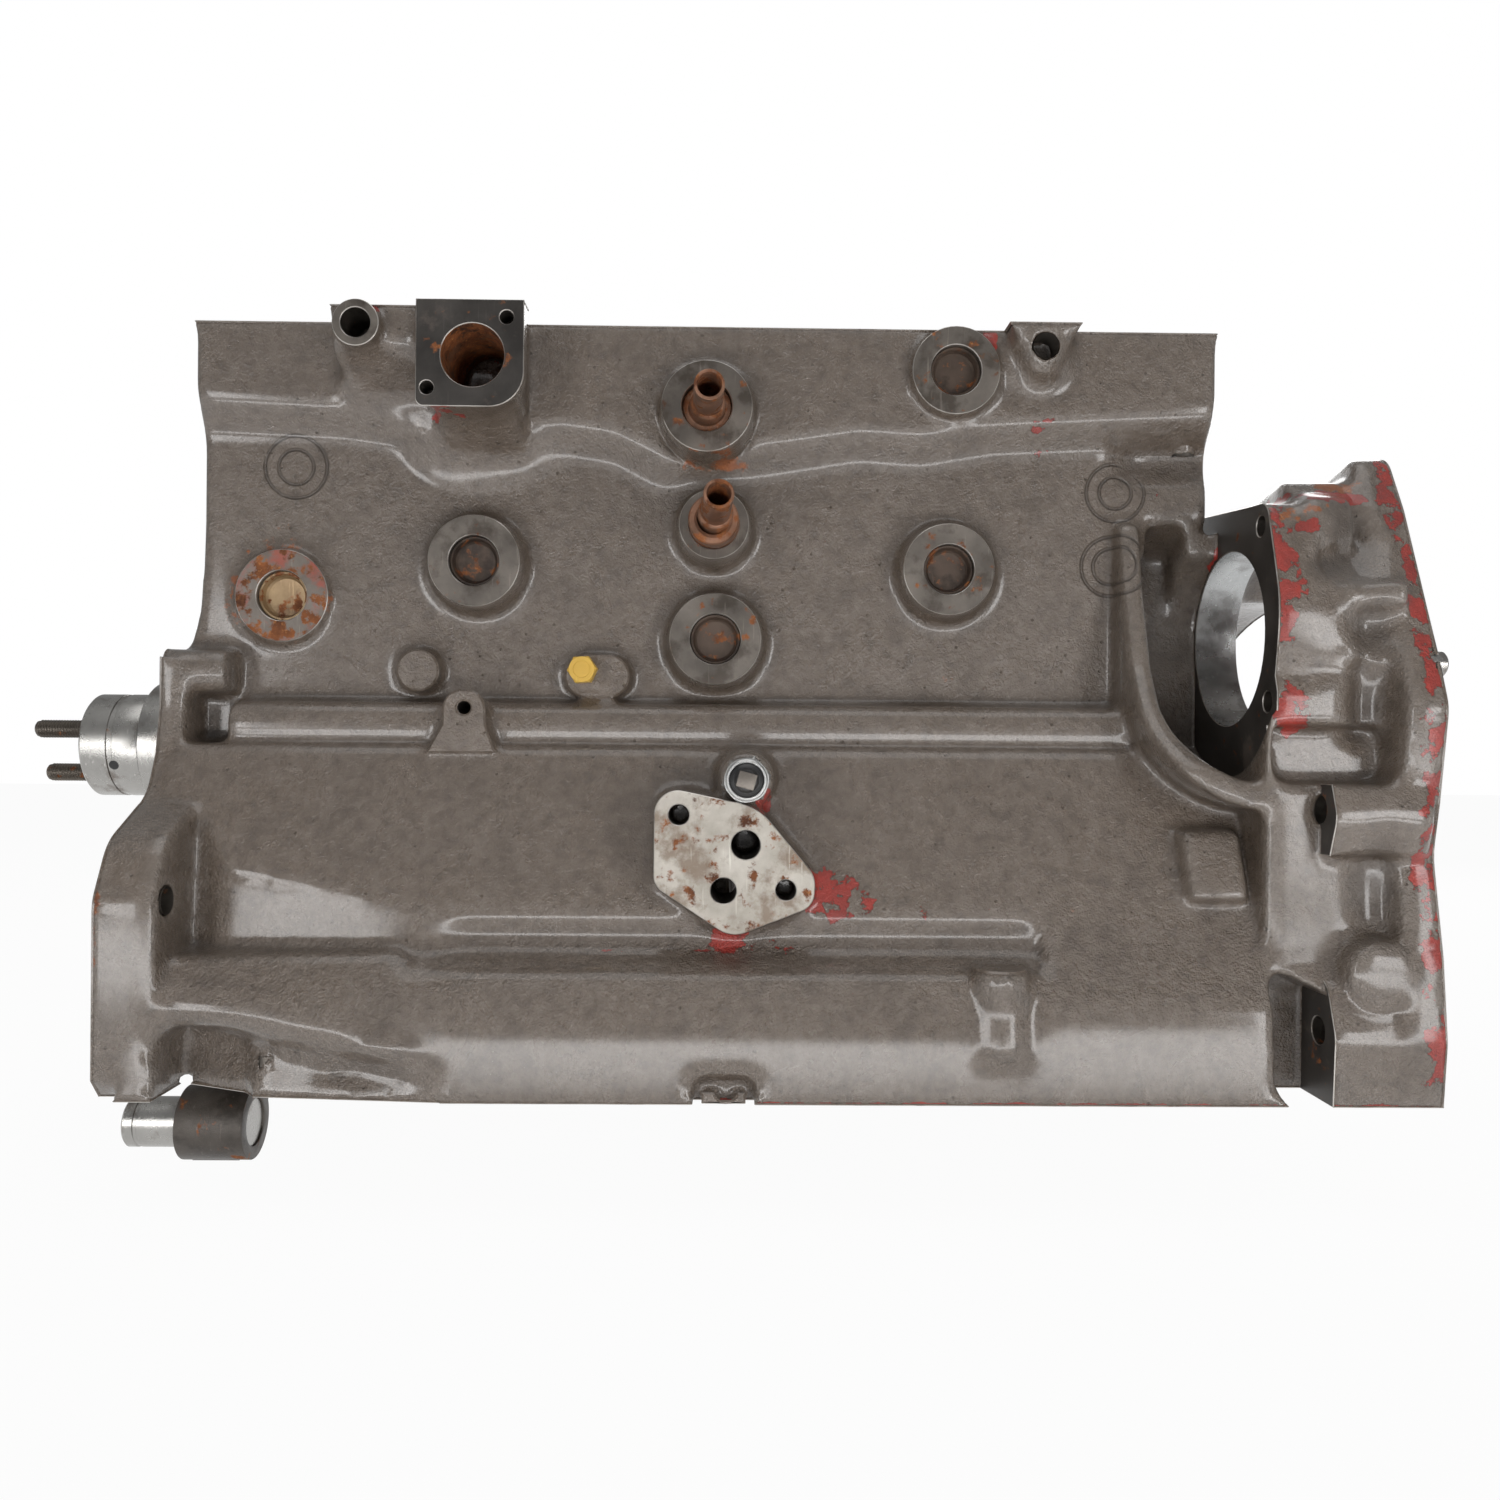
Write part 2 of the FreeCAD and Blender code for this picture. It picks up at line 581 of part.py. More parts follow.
def main_cap_bolts():
    """Heads of the ten cap bolts, seated on the caps."""
    return Part.makeCompound([hex_head(V(x, y, CAP_SEAT_Z), V(0, 0, -1), 19.0, 9.0)
                              for x in MAINS for y in (-CAP_BOLT_Y, CAP_BOLT_Y)])


def core_plugs():
    """Five pressed steel plugs, each set below its ring face."""
    return Part.makeCompound([along_y(x, (face_y + PLUG_RECESS, face_y + PLUG_RECESS + PLUG_DEPTH), z, PLUG_R)
                              for x, z, face_y, _ in PLUGS])


def coolant_pipe(x, z, _, face_y, collar_y, end):
    """Collar pressed in the boss with a tapered pipe brazed through it, leaning a little."""
    collar = along_y(x, (collar_y, PIPE_SEAT_Y), z, PIPE_COLLAR_R)
    start = V(x, (collar_y + PIPE_SEAT_Y) / 2, z)
    way = end - start
    lean = V(way).normalize()
    to_collar = (collar_y - start.y) / lean.y
    root_end = start + lean * (to_collar + PIPE_ROOT)
    shapes = [collar, rod(start, root_end, PIPE_ROOT_R), rod(start, end, PIPE_R)]
    return fused(shapes).cut(rod(start, end + way * 0.1, PIPE_BORE_R))


def drain_plug():
    """Head of the hexagon plug, seated on its pad."""
    return hex_head(V(-63.8, -89, 160.6), NEAR, 13.0, 9.0)


def switch_body():
    """Hexagon body of the pressure switch with a round rim, on its boss."""
    head = hex_head(V(19.4, -136, 106.5), NEAR, 20.5, 14.0)
    rim = along_y(19.4, (-153, -150), 106.5, 9.6)
    return fused([head, rim])


def switch_insulator():
    """Black insulator standing from the switch."""
    return along_y(19.4, (-157, -153), 106.5, 7.4)


def switch_terminal():
    """Flat square terminal on a short neck, turned a little."""
    tab = box((-4.2, 4.2), (-159, -158.2), (-3.7, 3.7))
    neck = box((-1.6, 1.6), (-158.2, -157), (-1.6, 1.6))
    terminal = fused([tab, neck])
    terminal.rotate(V(0, 0, 0), V(0, 1, 0), 15)
    terminal.translate(V(19.4, 0, 106.5))
    return terminal


def idler_hub():
    """Stub that the idler gear turns on, held by two studs."""
    depth = HUB_SEAT_DEPTH
    hub = turned([(0, -depth), (HUB_FLANGE_R, -depth), (HUB_FLANGE_R, 28), (HUB_JOURNAL_R, 28),
                  (HUB_JOURNAL_R, 62), (0, 62)], V(FRONT_X, IDLER_Y, IDLER_Z), V(-1, 0, 0))
    return hub.cut([along_x((-340, -270), y, z, STUD_R) for y, z in stud_places()])


def stud_places():
    """Y and Z of the two hub studs, either side of the hub axis."""
    return ((IDLER_Y - 6.0, IDLER_Z + 8.5), (IDLER_Y + 6.0, IDLER_Z - 15.5))


def hub_stud(y, z):
    """Plain-shanked stud, screwed into the timing face."""
    return along_x((STUD_TIP_X, STUD_START_X), y, z, STUD_R)


def pump_shaft():
    """Oil pump idler shaft, pressed in the arm of the front cap."""
    journal = along_x((-293, -264), PUMP_SHAFT_Y, PUMP_SHAFT_Z, PUMP_SHAFT_R)
    return fused([journal, along_x((-265, -231), PUMP_SHAFT_Y, PUMP_SHAFT_Z, PUMP_SEAT_R)])


def rear_dowels():
    """Pair of dowels that stand out of the rear flange."""
    dowels = []
    for y in (-DOWEL_Y, DOWEL_Y):
        seat = along_x((REAR_X - 12, REAR_X), y, DOWEL_Z, DOWEL_SEAT_R)
        dowels.append(fused([seat, along_x((REAR_X, REAR_X + 5), y, DOWEL_Z, DOWEL_R)]))
    return Part.makeCompound(dowels)


def camshaft_plug():
    """Cup plug that closes the rear of the camshaft tunnel."""
    return along_x(CAM_PLUG_X, CAM_Y, CAM_Z, CAM_PLUG_R)


# ---------------------------------------------------------------- write the pieces

def pieces():
    """Every node of the part by name."""
    made = {"block_casting": block_casting(), "main_bearing_cap_1": front_cap()}
    for number, x in enumerate(MAINS[1:], start=2):
        made[f"main_bearing_cap_{number}"] = main_bearing_cap(x)
    made["main_cap_bolts"] = main_cap_bolts()
    made["core_plugs"] = core_plugs()
    for name, sizes in PIPES.items():
        made[name] = coolant_pipe(*sizes)
    made["drain_plug"] = drain_plug()
    made["switch_body"] = switch_body()
    made["switch_insulator"] = switch_insulator()
    made["switch_terminal"] = switch_terminal()
    made["idler_hub"] = idler_hub()
    for name, (y, z) in zip(("upper", "lower"), stud_places()):
        made[f"hub_stud_{name}"] = hub_stud(y, z)
    made["pump_shaft"] = pump_shaft()
    made["rear_dowels"] = rear_dowels()
    made["camshaft_plug"] = camshaft_plug()
    return made


def main():
    """Write one STEP file for each piece."""
    os.makedirs("parts", exist_ok=True)
    for name, shape in pieces().items():
        shape.exportStep(f"parts/{name}.step")
        print(f"{name}: {len(shape.Solids)} solids, volume {shape.Volume / 1000:.1f} cm3, valid {shape.isValid()}")


main()
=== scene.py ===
"""Looks of a four-cylinder diesel engine block: painted cast skin, machined faces and small steel pieces.

Metres in the frame, millimetres in the working arrays. The crankshaft axis is X, the deck is up
and the starter side faces -Y.
"""
import math

import bmesh
import bpy
import numpy as np
from bpy.props import FloatProperty, FloatVectorProperty, IntProperty, PointerProperty
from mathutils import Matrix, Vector


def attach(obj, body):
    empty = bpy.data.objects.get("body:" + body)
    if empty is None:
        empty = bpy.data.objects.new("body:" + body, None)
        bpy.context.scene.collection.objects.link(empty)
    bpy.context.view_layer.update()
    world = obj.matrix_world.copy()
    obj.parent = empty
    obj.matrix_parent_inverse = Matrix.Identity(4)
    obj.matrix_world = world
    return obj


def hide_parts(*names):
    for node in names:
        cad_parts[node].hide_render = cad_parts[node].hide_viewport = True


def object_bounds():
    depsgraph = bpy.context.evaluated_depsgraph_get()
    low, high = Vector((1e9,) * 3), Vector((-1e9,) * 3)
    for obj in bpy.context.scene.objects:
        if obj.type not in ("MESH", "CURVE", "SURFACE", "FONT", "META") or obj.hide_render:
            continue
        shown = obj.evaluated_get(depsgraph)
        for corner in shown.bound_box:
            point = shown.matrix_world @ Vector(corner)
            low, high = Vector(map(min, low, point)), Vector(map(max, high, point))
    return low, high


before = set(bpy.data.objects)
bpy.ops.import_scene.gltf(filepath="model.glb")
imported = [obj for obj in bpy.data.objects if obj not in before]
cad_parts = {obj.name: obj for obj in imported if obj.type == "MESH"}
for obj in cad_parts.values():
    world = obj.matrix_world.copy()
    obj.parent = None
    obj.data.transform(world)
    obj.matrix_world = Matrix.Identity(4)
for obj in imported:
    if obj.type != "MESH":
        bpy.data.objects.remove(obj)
CAD_BOX = [list(corner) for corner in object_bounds()]

bl_info = {
    "name": "Engine block looks",
    "version": (1, 0, 0),
    "blender": (4, 5, 0),
    "location": "View3D > Sidebar > Engine block",
    "description": "Builds the painted casting, machined faces and fittings of the engine block",
    "category": "Object",
}

MM = 1000.0
FRONT, REAR, NEAR, DOWN = (-1, 0, 0), (1, 0, 0), (0, -1, 0), (0, 0, -1)

# Places that the casting and the small pieces share, in mm
MAIN_X = (-250.0, -125.0, 0.0, 125.0, 250.0)
CAP_BOLT_Y = 53.0
CAP_UNDERSIDE_Z = -32.0
HUB = (-275.0, -30.0, 120.5)
STUDS = {"upper": (-36.0, 129.0), "lower": (-24.0, 105.0)}
PUMP_SHAFT = (-231.0, -86.0, -72.0)
CAM_CUP = (274.0, 99.0, 128.0)
DOWEL = (326.0, 152.0, 163.0)
DRAIN_PLUG = (-63.8, -89.0, 160.6)
SWITCH = (19.4, -136.0, 106.5)
PLUG_BORE_R = 13.0
PIPE_SEAT_R = 12.7
PIPE_SEAT_Y = -92.0
BANK_Y = -75.5
BAND_Y = -87.0

# Machined planes: axis, place in mm, outward sign, finish, and the ranges of the other two coordinates
ANY = (-999.0, 999.0)
PLANES = [
    (2, 338.0, 1, "deck_iron", ANY, ANY),
    (2, -40.0, -1, "deck_iron", ANY, ANY),
    (0, -275.0, -1, "deck_iron", ANY, ANY),
    (0, 338.0, 1, "deck_iron", ANY, ANY),
    (0, 266.6, -1, "dark_face", (-160.0, -15.0), (110.0, 255.0)),
    (0, 287.0, -1, "dark_face", (-170.0, -60.0), (-41.0, 125.0)),
    (1, -150.0, -1, "gasket_face", (-30.0, 60.0), (30.0, 110.0)),
    (1, -122.0, -1, "dark_face", (-145.0, -85.0), (280.0, 339.0)),
    (1, -121.0, -1, "ring_face", (-190.0, -155.0), (310.0, 339.0)),
    (1, -108.0, -1, "cast_paint", (-141.0, -103.0), (116.0, 152.0)),
    (1, -89.0, -1, "cast_paint", (-75.0, -39.0), (145.0, 170.0)),
    (1, -87.0, -1, "cast_paint", (-162.0, -136.0), (147.0, 173.0)),
    (1, -163.0, -1, "cast_paint", (-1.0, 21.0), (-41.0, -34.0)),
    (2, 21.0, 1, "cast_paint", (122.0, 152.0), (-168.0, -139.0)),
]
# Round bores and holes by axis: the two other coordinates, the radius, and a finish other than bored iron
ROUND = {
    0: [(0.0, 0.0, 42.0), (0.0, 0.0, 46.0), (0.0, 0.0, 55.0), (99.0, 128.0, 27.0), (99.0, 128.0, 29.0),
        (-91.0, 179.3, 44.5, "bright_bore"), (-130.0, 230.5, 5.1), (-139.0, 145.5, 5.1),
        *[(*place, 5.0) for place in STUDS.values()]]
       + [(s * 150.0, z, 6.6) for s in (-1, 1) for z in (49.0, 95.0, -8.0)]
       + [(s * DOWEL[1], DOWEL[2], r) for s in (-1, 1) for r in (5.5, 6.6)],
    1: [(-98.5, 329.5, 3.4), (-137.0, 295.0, 3.4), (-172.0, 326.5, 7.3), (169.5, 326.0, 6.5),
        (-120.8, 140.4, 3.3), (-11.9, 90.2, 4.8), (38.1, 55.6, 4.8), (19.3, 76.4, 6.8), (9.1, 55.1, 6.0),
        (-115.0, 311.0, 15.5, "rusty_bore")],
    2: [(x, 0.0, 49.2) for x in (-187.5, -62.5, 62.5, 187.5)]
       + [(x, y, 6.5) for x in (-251.0, 251.0) for y in (-66.0, 66.0)]
       + [(x, y, 6.5) for x in MAIN_X[1:4] for y in (-50.0, 50.0)]
       + [(x, y, 4.3) for x in (-200.0, 200.0) for y in (-150.0, 150.0)],
}
# Core plugs and pipe stubs on the jacket wall: x, z, y of the ring face, ring radius, bore radius
PLUGS = ((-221.0, 198.4, -81.0, 24.0), (-120.0, 216.0, -91.0, 23.5), (3.5, 177.0, -92.0, 23.5),
         (123.0, 214.0, -91.0, 23.5), (125.4, 315.2, -94.0, 22.5))
PIPE_BOSSES = ((-1.5, 293.0, -103.0, 23.0), (2.4, 235.0, -96.0, 17.8))
# Lower edge of the thick band below the deck: x and z along the starter side
SHOULDER = ((-264, 284), (-190, 281), (-162, 277), (-136, 259), (-110, 262), (-80, 274), (-50, 270),
            (-25, 257), (34, 265), (77, 272), (110, 270), (147, 276), (205, 279), (262, 282))
# Places where the cast forms flow together, in x and z: middle, half width and half height
SOFT = ((-116, 273, 44, 22), (-163, 302, 30, 20), (169, 322, 22, 20), (-205, -8, 55, 30))
# Hollows of the flywheel housing beside its lip, also darkened with painted shade in the paint: x, z, half
# width, half height, depth
DENTS = ((308, 224, 9, 20, 9.0), (311, 178, 8, 12, 8.0), (310, 144, 7, 14, 9.0), (307, 162, 3.4, 3.4, 9.0),
         (296, 210, 10, 5, 4.0), (312, 60, 8, 22, 4.0))
# Long ribs of the skirt, between two places in x: z, half height and inward depth of each hollow.
# A depth below zero stands outwards.
RIB_X = (-112.0, 150.0)
RIBS = ((31.0, 5.5, 3.2), (16.5, 4.5, -2.2), (2.0, 5.0, 1.2))
# Worn places of the starter side: x, z, half width, half height, strength
CHIPS = (
    (55, 52, 9, 13, 0.66), (61, 37, 6, 8, 0.72), (55, 23, 8, 4, 0.74), (59, -5, 6, 13, 0.92),
    (14, 29, 14, 8, 0.74), (-5, 14, 33, 2, 0.55), (160, 95, 3.5, 6, 1.0), (72, 173, 3, 11, 0.9),
    (173, 286, 5, 11, 0.8), (144, 331, 5, 7, 0.7), (29, 97, 4, 6, 0.8), (-128, 289, 17, 3, 0.85),
    (-167, 333, 4, 10, 0.85), (-269, 238, 3, 29, 0.66), (301, 246, 20, 4, 0.75), (276, 141, 9, 12, 0.85),
    (271, 205, 7, 32, 0.72), (-278, 25, 3, 10, 0.7), (285, -63, 3, 9, 0.4), (56, 325, 5, 9, 0.5),
    (283, 229, 9, 4, 0.6),
)
RUST = (
    (188, 176, 13, 17, 0.92), (-226, 204, 31, 27, 0.58), (-276, 46, 6, 12, 0.85), (4, 269, 20, 5, 0.55),
    (162, 59, 9, 9, 0.4), (161, 140, 26, 4, 0.5), (283, 236, 19, 6, 0.45), (308, 252, 20, 6, 0.5),
)
# Prints of the core supports on the jacket wall: x, z, outer radius, inner radius
PRINTS = ((-215.7, 266.0, 16.1, 9.1), (212.8, 257.3, 15.3, 8.5), (210.8, 218.3, 15.6, 9.5))


# ---------------------------------------------------------------- sizes and colours a user may change

class CastingLooks(bpy.types.PropertyGroup):
    """Sizes and colours of the casting."""
    voxel: FloatProperty(name="Skin grid", description="Grid size of the cast skin", default=0.0017,
                         min=0.001, unit="LENGTH")
    triangles: IntProperty(name="Skin triangles", description="Triangles kept in the cast skin",
                           default=192000)
    rounding: IntProperty(name="Rounding", description="Smoothing passes that round the cast edges",
                          default=22)
    worn_edge: FloatProperty(name="Worn edge", description="Width of the bevel round each machined face",
                             default=0.0004, unit="LENGTH")
    paint: FloatVectorProperty(name="Paint", description="Dark warm grey of the paint", subtype="COLOR",
                               default=(0.148, 0.112, 0.084))
    under_paint: FloatVectorProperty(name="Under-paint", description="Red coat that shows at chips",
                                     subtype="COLOR", default=(0.42, 0.036, 0.022))
    rust: FloatVectorProperty(name="Rust", description="Orange-brown rust", subtype="COLOR",
                              default=(0.30, 0.095, 0.03))
    iron: FloatVectorProperty(name="Bare iron", description="Machined cast iron", subtype="COLOR",
                              default=(0.225, 0.198, 0.172))


class FittingLooks(bpy.types.PropertyGroup):
    """Colours of the small steel pieces."""
    steel: FloatVectorProperty(name="Steel", description="Turned steel", subtype="COLOR",
                               default=(0.44, 0.43, 0.41))
    zinc: FloatVectorProperty(name="Zinc", description="Zinc-plated steel", subtype="COLOR",
                              default=(0.56, 0.56, 0.55))
    copper: FloatVectorProperty(name="Pipe metal", description="Coppery tube under its rust",
                                subtype="COLOR", default=(0.42, 0.22, 0.14))
    yellow: FloatVectorProperty(name="Plug paint", description="Yellow of the drain plug", subtype="COLOR",
                                default=(0.80, 0.50, 0.09))


class StageLooks(bpy.types.PropertyGroup):
    """Camera and lamps."""
    eye: FloatVectorProperty(name="Camera place", description="Camera position", subtype="TRANSLATION",
                             default=(0.013, -0.7258, 0.1205), precision=4)
    lens: FloatProperty(name="Lens", description="Focal length on a 36 mm sensor, in mm", default=29.81)
    yaw: FloatProperty(name="Yaw", description="Turn of the camera to the left", default=-0.0137,
                       subtype="ANGLE")
    roll: FloatProperty(name="Roll", description="Tilt of the camera about its own axis", default=-0.0083,
                        subtype="ANGLE")
    light: FloatProperty(name="Light", description="Strength of all the lamps", default=1.0, min=0.0)


# ---------------------------------------------------------------- mesh helpers

def points_of(mesh):
    """Vertex places in mm as an N x 3 array."""
    flat = np.empty(len(mesh.vertices) * 3, np.float32)
    mesh.vertices.foreach_get("co", flat)
    return flat.reshape(-1, 3).astype(float) * MM


def put_points(mesh, points):
    """Writes vertex places given in mm."""
    mesh.vertices.foreach_set("co", (points / MM).astype(np.float32).ravel())
    mesh.update()


def normals_of(mesh):
    """Vertex normals as an N x 3 array."""
    flat = np.empty(len(mesh.vertices) * 3, np.float32)
    mesh.vertex_normals.foreach_get("vector", flat)
    return flat.reshape(-1, 3).astype(float)


def add_value(mesh, name, values):
    """Stores one number for each vertex."""
    layer = mesh.attributes.new(name, "FLOAT", "POINT")
    layer.data.foreach_set("value", values.astype(np.float32))


def link_piece(name, mesh):
    """Object at the origin that holds the mesh."""
    piece = bpy.data.objects.new(name, mesh)
    bpy.context.scene.collection.objects.link(piece)
    return piece


def shaded(mesh, angle=35.0):
    """Smooth shading that stays sharp past the angle."""
    mesh.shade_smooth()
    mesh.set_sharp_from_angle(angle=math.radians(angle))
    return mesh


def evaluated(piece):
    """Mesh of the piece with its modifiers applied, which are then removed."""
    graph = bpy.context.evaluated_depsgraph_get()
    mesh = bpy.data.meshes.new_from_object(piece.evaluated_get(graph))
    piece.modifiers.clear()
    piece.data = mesh
    return mesh


def merged_copy(node):
    """Copy of a CAD node's mesh with its doubles merged."""
    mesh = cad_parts[node].data.copy()
    mesh.materials.clear()
    work = bmesh.new()
    work.from_mesh(mesh)
    bmesh.ops.remove_doubles(work, verts=work.verts, dist=1e-6)
    work.to_mesh(mesh)
    work.free()
    return mesh


def smoothstep(low, high, value):
    """Zero below low, one above high and an S-curve between."""
    t = np.clip((value - low) / (high - low), 0.0, 1.0)
    return t * t * (3 - 2 * t)


def grids_to_mesh(name, grids, angle=35.0):
    """One mesh from grids of points in mm; each grid is rows x columns x 3, closed round its columns."""
    points, faces, start = [], [], 0
    for grid in grids:
        rows, columns = grid.shape[:2]
        index = np.arange(rows * columns).reshape(rows, columns) + start
        ahead = np.roll(index, -1, axis=1)
        quads = np.stack([index[:-1], ahead[:-1], ahead[1:], index[1:]], axis=-1).reshape(-1, 4)
        points.append(grid.reshape(-1, 3))
        faces.append(quads)
        start += rows * columns
    mesh = bpy.data.meshes.new(name)
    mesh.from_pydata((np.concatenate(points) / MM).tolist(), [], np.concatenate(faces).tolist())
    work = bmesh.new()
    work.from_mesh(mesh)
    bmesh.ops.remove_doubles(work, verts=work.verts, dist=2e-6)
    bmesh.ops.recalc_face_normals(work, faces=work.faces)
    work.to_mesh(mesh)
    work.free()
    return shaded(mesh, angle)


def frame_of(axis):
    """Two unit vectors square to the axis and the axis itself."""
    axis = np.array(axis, float) / np.linalg.norm(axis)
    side = np.array([0.0, 0.0, 1.0]) if abs(axis[2]) < 0.7 else np.array([1.0, 0.0, 0.0])
    side = side - axis * (side @ axis)
    side /= np.linalg.norm(side)
    return side, np.cross(axis, side), axis


def lathe(base, axis, profile, columns=48):
    """Turned form: each profile pair (radius, height) is a circle about the axis at that height."""
    side, other, along = frame_of(axis)
    radius, height = np.array(profile, float).T
    turn = np.linspace(0, 2 * np.pi, columns, endpoint=False)
    ring = np.cos(turn)[None, :, None] * side + np.sin(turn)[None, :, None] * other
    return np.array(base, float) + radius[:, None, None] * ring + height[:, None, None] * along


def hexagon(base, axis, across, profile, turn=0.0, columns=96):
    """Hexagon bar cut by a turned profile: the radius is the smaller of the flat's and the profile's."""
    side, other, along = frame_of(axis)
    limit, height = np.array(profile, float).T
    angle = np.linspace(0, 2 * np.pi, columns, endpoint=False)
    flat = across / 2 / np.cos((angle + np.pi / 6) % (np.pi / 3) - np.pi / 6)
    radius = np.minimum(flat[None, :], limit[:, None])
    angle = angle + turn
    ring = np.cos(angle)[None, :, None] * side + np.sin(angle)[None, :, None] * other
    return np.array(base, float) + radius[..., None] * ring + height[:, None, None] * along


def thread(base, axis, core, depth, pitch, start, end, columns=36, steps=6):
    """Threaded rod: the radius rises and falls as a triangle wave of height less turn, once a pitch."""
    side, other, along = frame_of(axis)
    height = np.arange(start, end, pitch / steps)
    angle = np.linspace(0, 2 * np.pi, columns, endpoint=False)
    phase = (height[:, None] / pitch - angle[None, :] / (2 * np.pi)) % 1.0
    fade = smoothstep(start, start + pitch, height) * smoothstep(end, end - pitch, height)
    radius = core + depth * (1 - np.abs(2 * phase - 1)) * fade[:, None]
    ring = np.cos(angle)[None, :, None] * side + np.sin(angle)[None, :, None] * other
    return np.array(base, float) + radius[..., None] * ring + height[:, None, None] * along


# ---------------------------------------------------------------- shader helpers

class Nodes:
    """Adds and joins shader nodes in one tree."""

    def __init__(self, tree):
        self.tree = tree

    def put(self, socket, value):
        """Links a socket, or sets a constant."""
        if isinstance(value, bpy.types.NodeSocket):
            self.tree.links.new(value, socket)
        elif hasattr(socket, "default_value") and not isinstance(value, (int, float)) and len(value) == 3 \
                and socket.type == "RGBA":
            socket.default_value = (*value, 1.0)
        else:
            socket.default_value = value

    def add(self, kind, inputs=None, **settings):
        """New node with its settings and inputs, by socket name or number."""
        node = self.tree.nodes.new(kind)
        for key, value in settings.items():
            setattr(node, key, value)
        for key, value in (inputs or {}).items():
            self.put(node.inputs[key], value)
        return node

    def math(self, operation, a, b=0.0, clamp=False):
        """Sum, product and the like of two values."""
        return self.add("ShaderNodeMath", {0: a, 1: b}, operation=operation, use_clamp=clamp).outputs[0]

    def spread(self, value, low, high, to_low=0.0, to_high=1.0):
        """Value from low to high, carried to the other range and held there."""
        return self.add("ShaderNodeMapRange", {0: value, 1: low, 2: high, 3: to_low, 4: to_high}).outputs[0]

    def noise(self, where, scale, detail=3.0, roughness=0.55, distortion=0.0):
        """Cloudy value about one half."""
        return self.add("ShaderNodeTexNoise", {"Vector": where, "Scale": scale, "Detail": detail,
                                               "Roughness": roughness, "Distortion": distortion}).outputs[0]

    def mix(self, share, a, b, blend="MIX"):
        """Colour a carried towards colour b by the share."""
        node = self.add("ShaderNodeMix", data_type="RGBA", blend_type=blend)
        self.put(node.inputs[0], share)
        self.put(node.inputs[6], a)
        self.put(node.inputs[7], b)
        return node.outputs[2]

    def value(self, name):
        """Number stored on the vertices."""
        return self.add("ShaderNodeAttribute", attribute_name=name).outputs["Fac"]

    def place(self):
        """Object coordinates."""
        return self.add("ShaderNodeTexCoord").outputs["Object"]

    def group(self, name, inputs):
        """Outputs of a shared shader group."""
        node = self.add("ShaderNodeGroup", node_tree=GROUPS[name])
        for key, value in inputs.items():
            self.put(node.inputs[key], value)
        return node.outputs

    def ragged(self, where, mask, scale, edge):
        """Mask broken up by noise, sharp over the width of the edge."""
        return self.group("ragged", {"Vector": where, "Mask": mask, "Scale": scale, "Edge": edge})["Mask"]


GROUPS = {}


def start_group(name, inputs, outputs):
    """Empty shader group with named sockets; each input is (kind, default)."""
    tree = bpy.data.node_groups.new(name, "ShaderNodeTree")
    for label, (kind, default) in inputs.items():
        socket = tree.interface.new_socket(name=label, in_out="INPUT", socket_type=kind)
        if default is not None:
            socket.default_value = default
    for label, kind in outputs.items():
        tree.interface.new_socket(name=label, in_out="OUTPUT", socket_type=kind)
    GROUPS[name] = tree
    nodes = Nodes(tree)
    return nodes, nodes.add("NodeGroupInput").outputs, nodes.add("NodeGroupOutput").inputs


FLOAT, COLOR, VECTOR = "NodeSocketFloat", "NodeSocketColor", "NodeSocketVector"


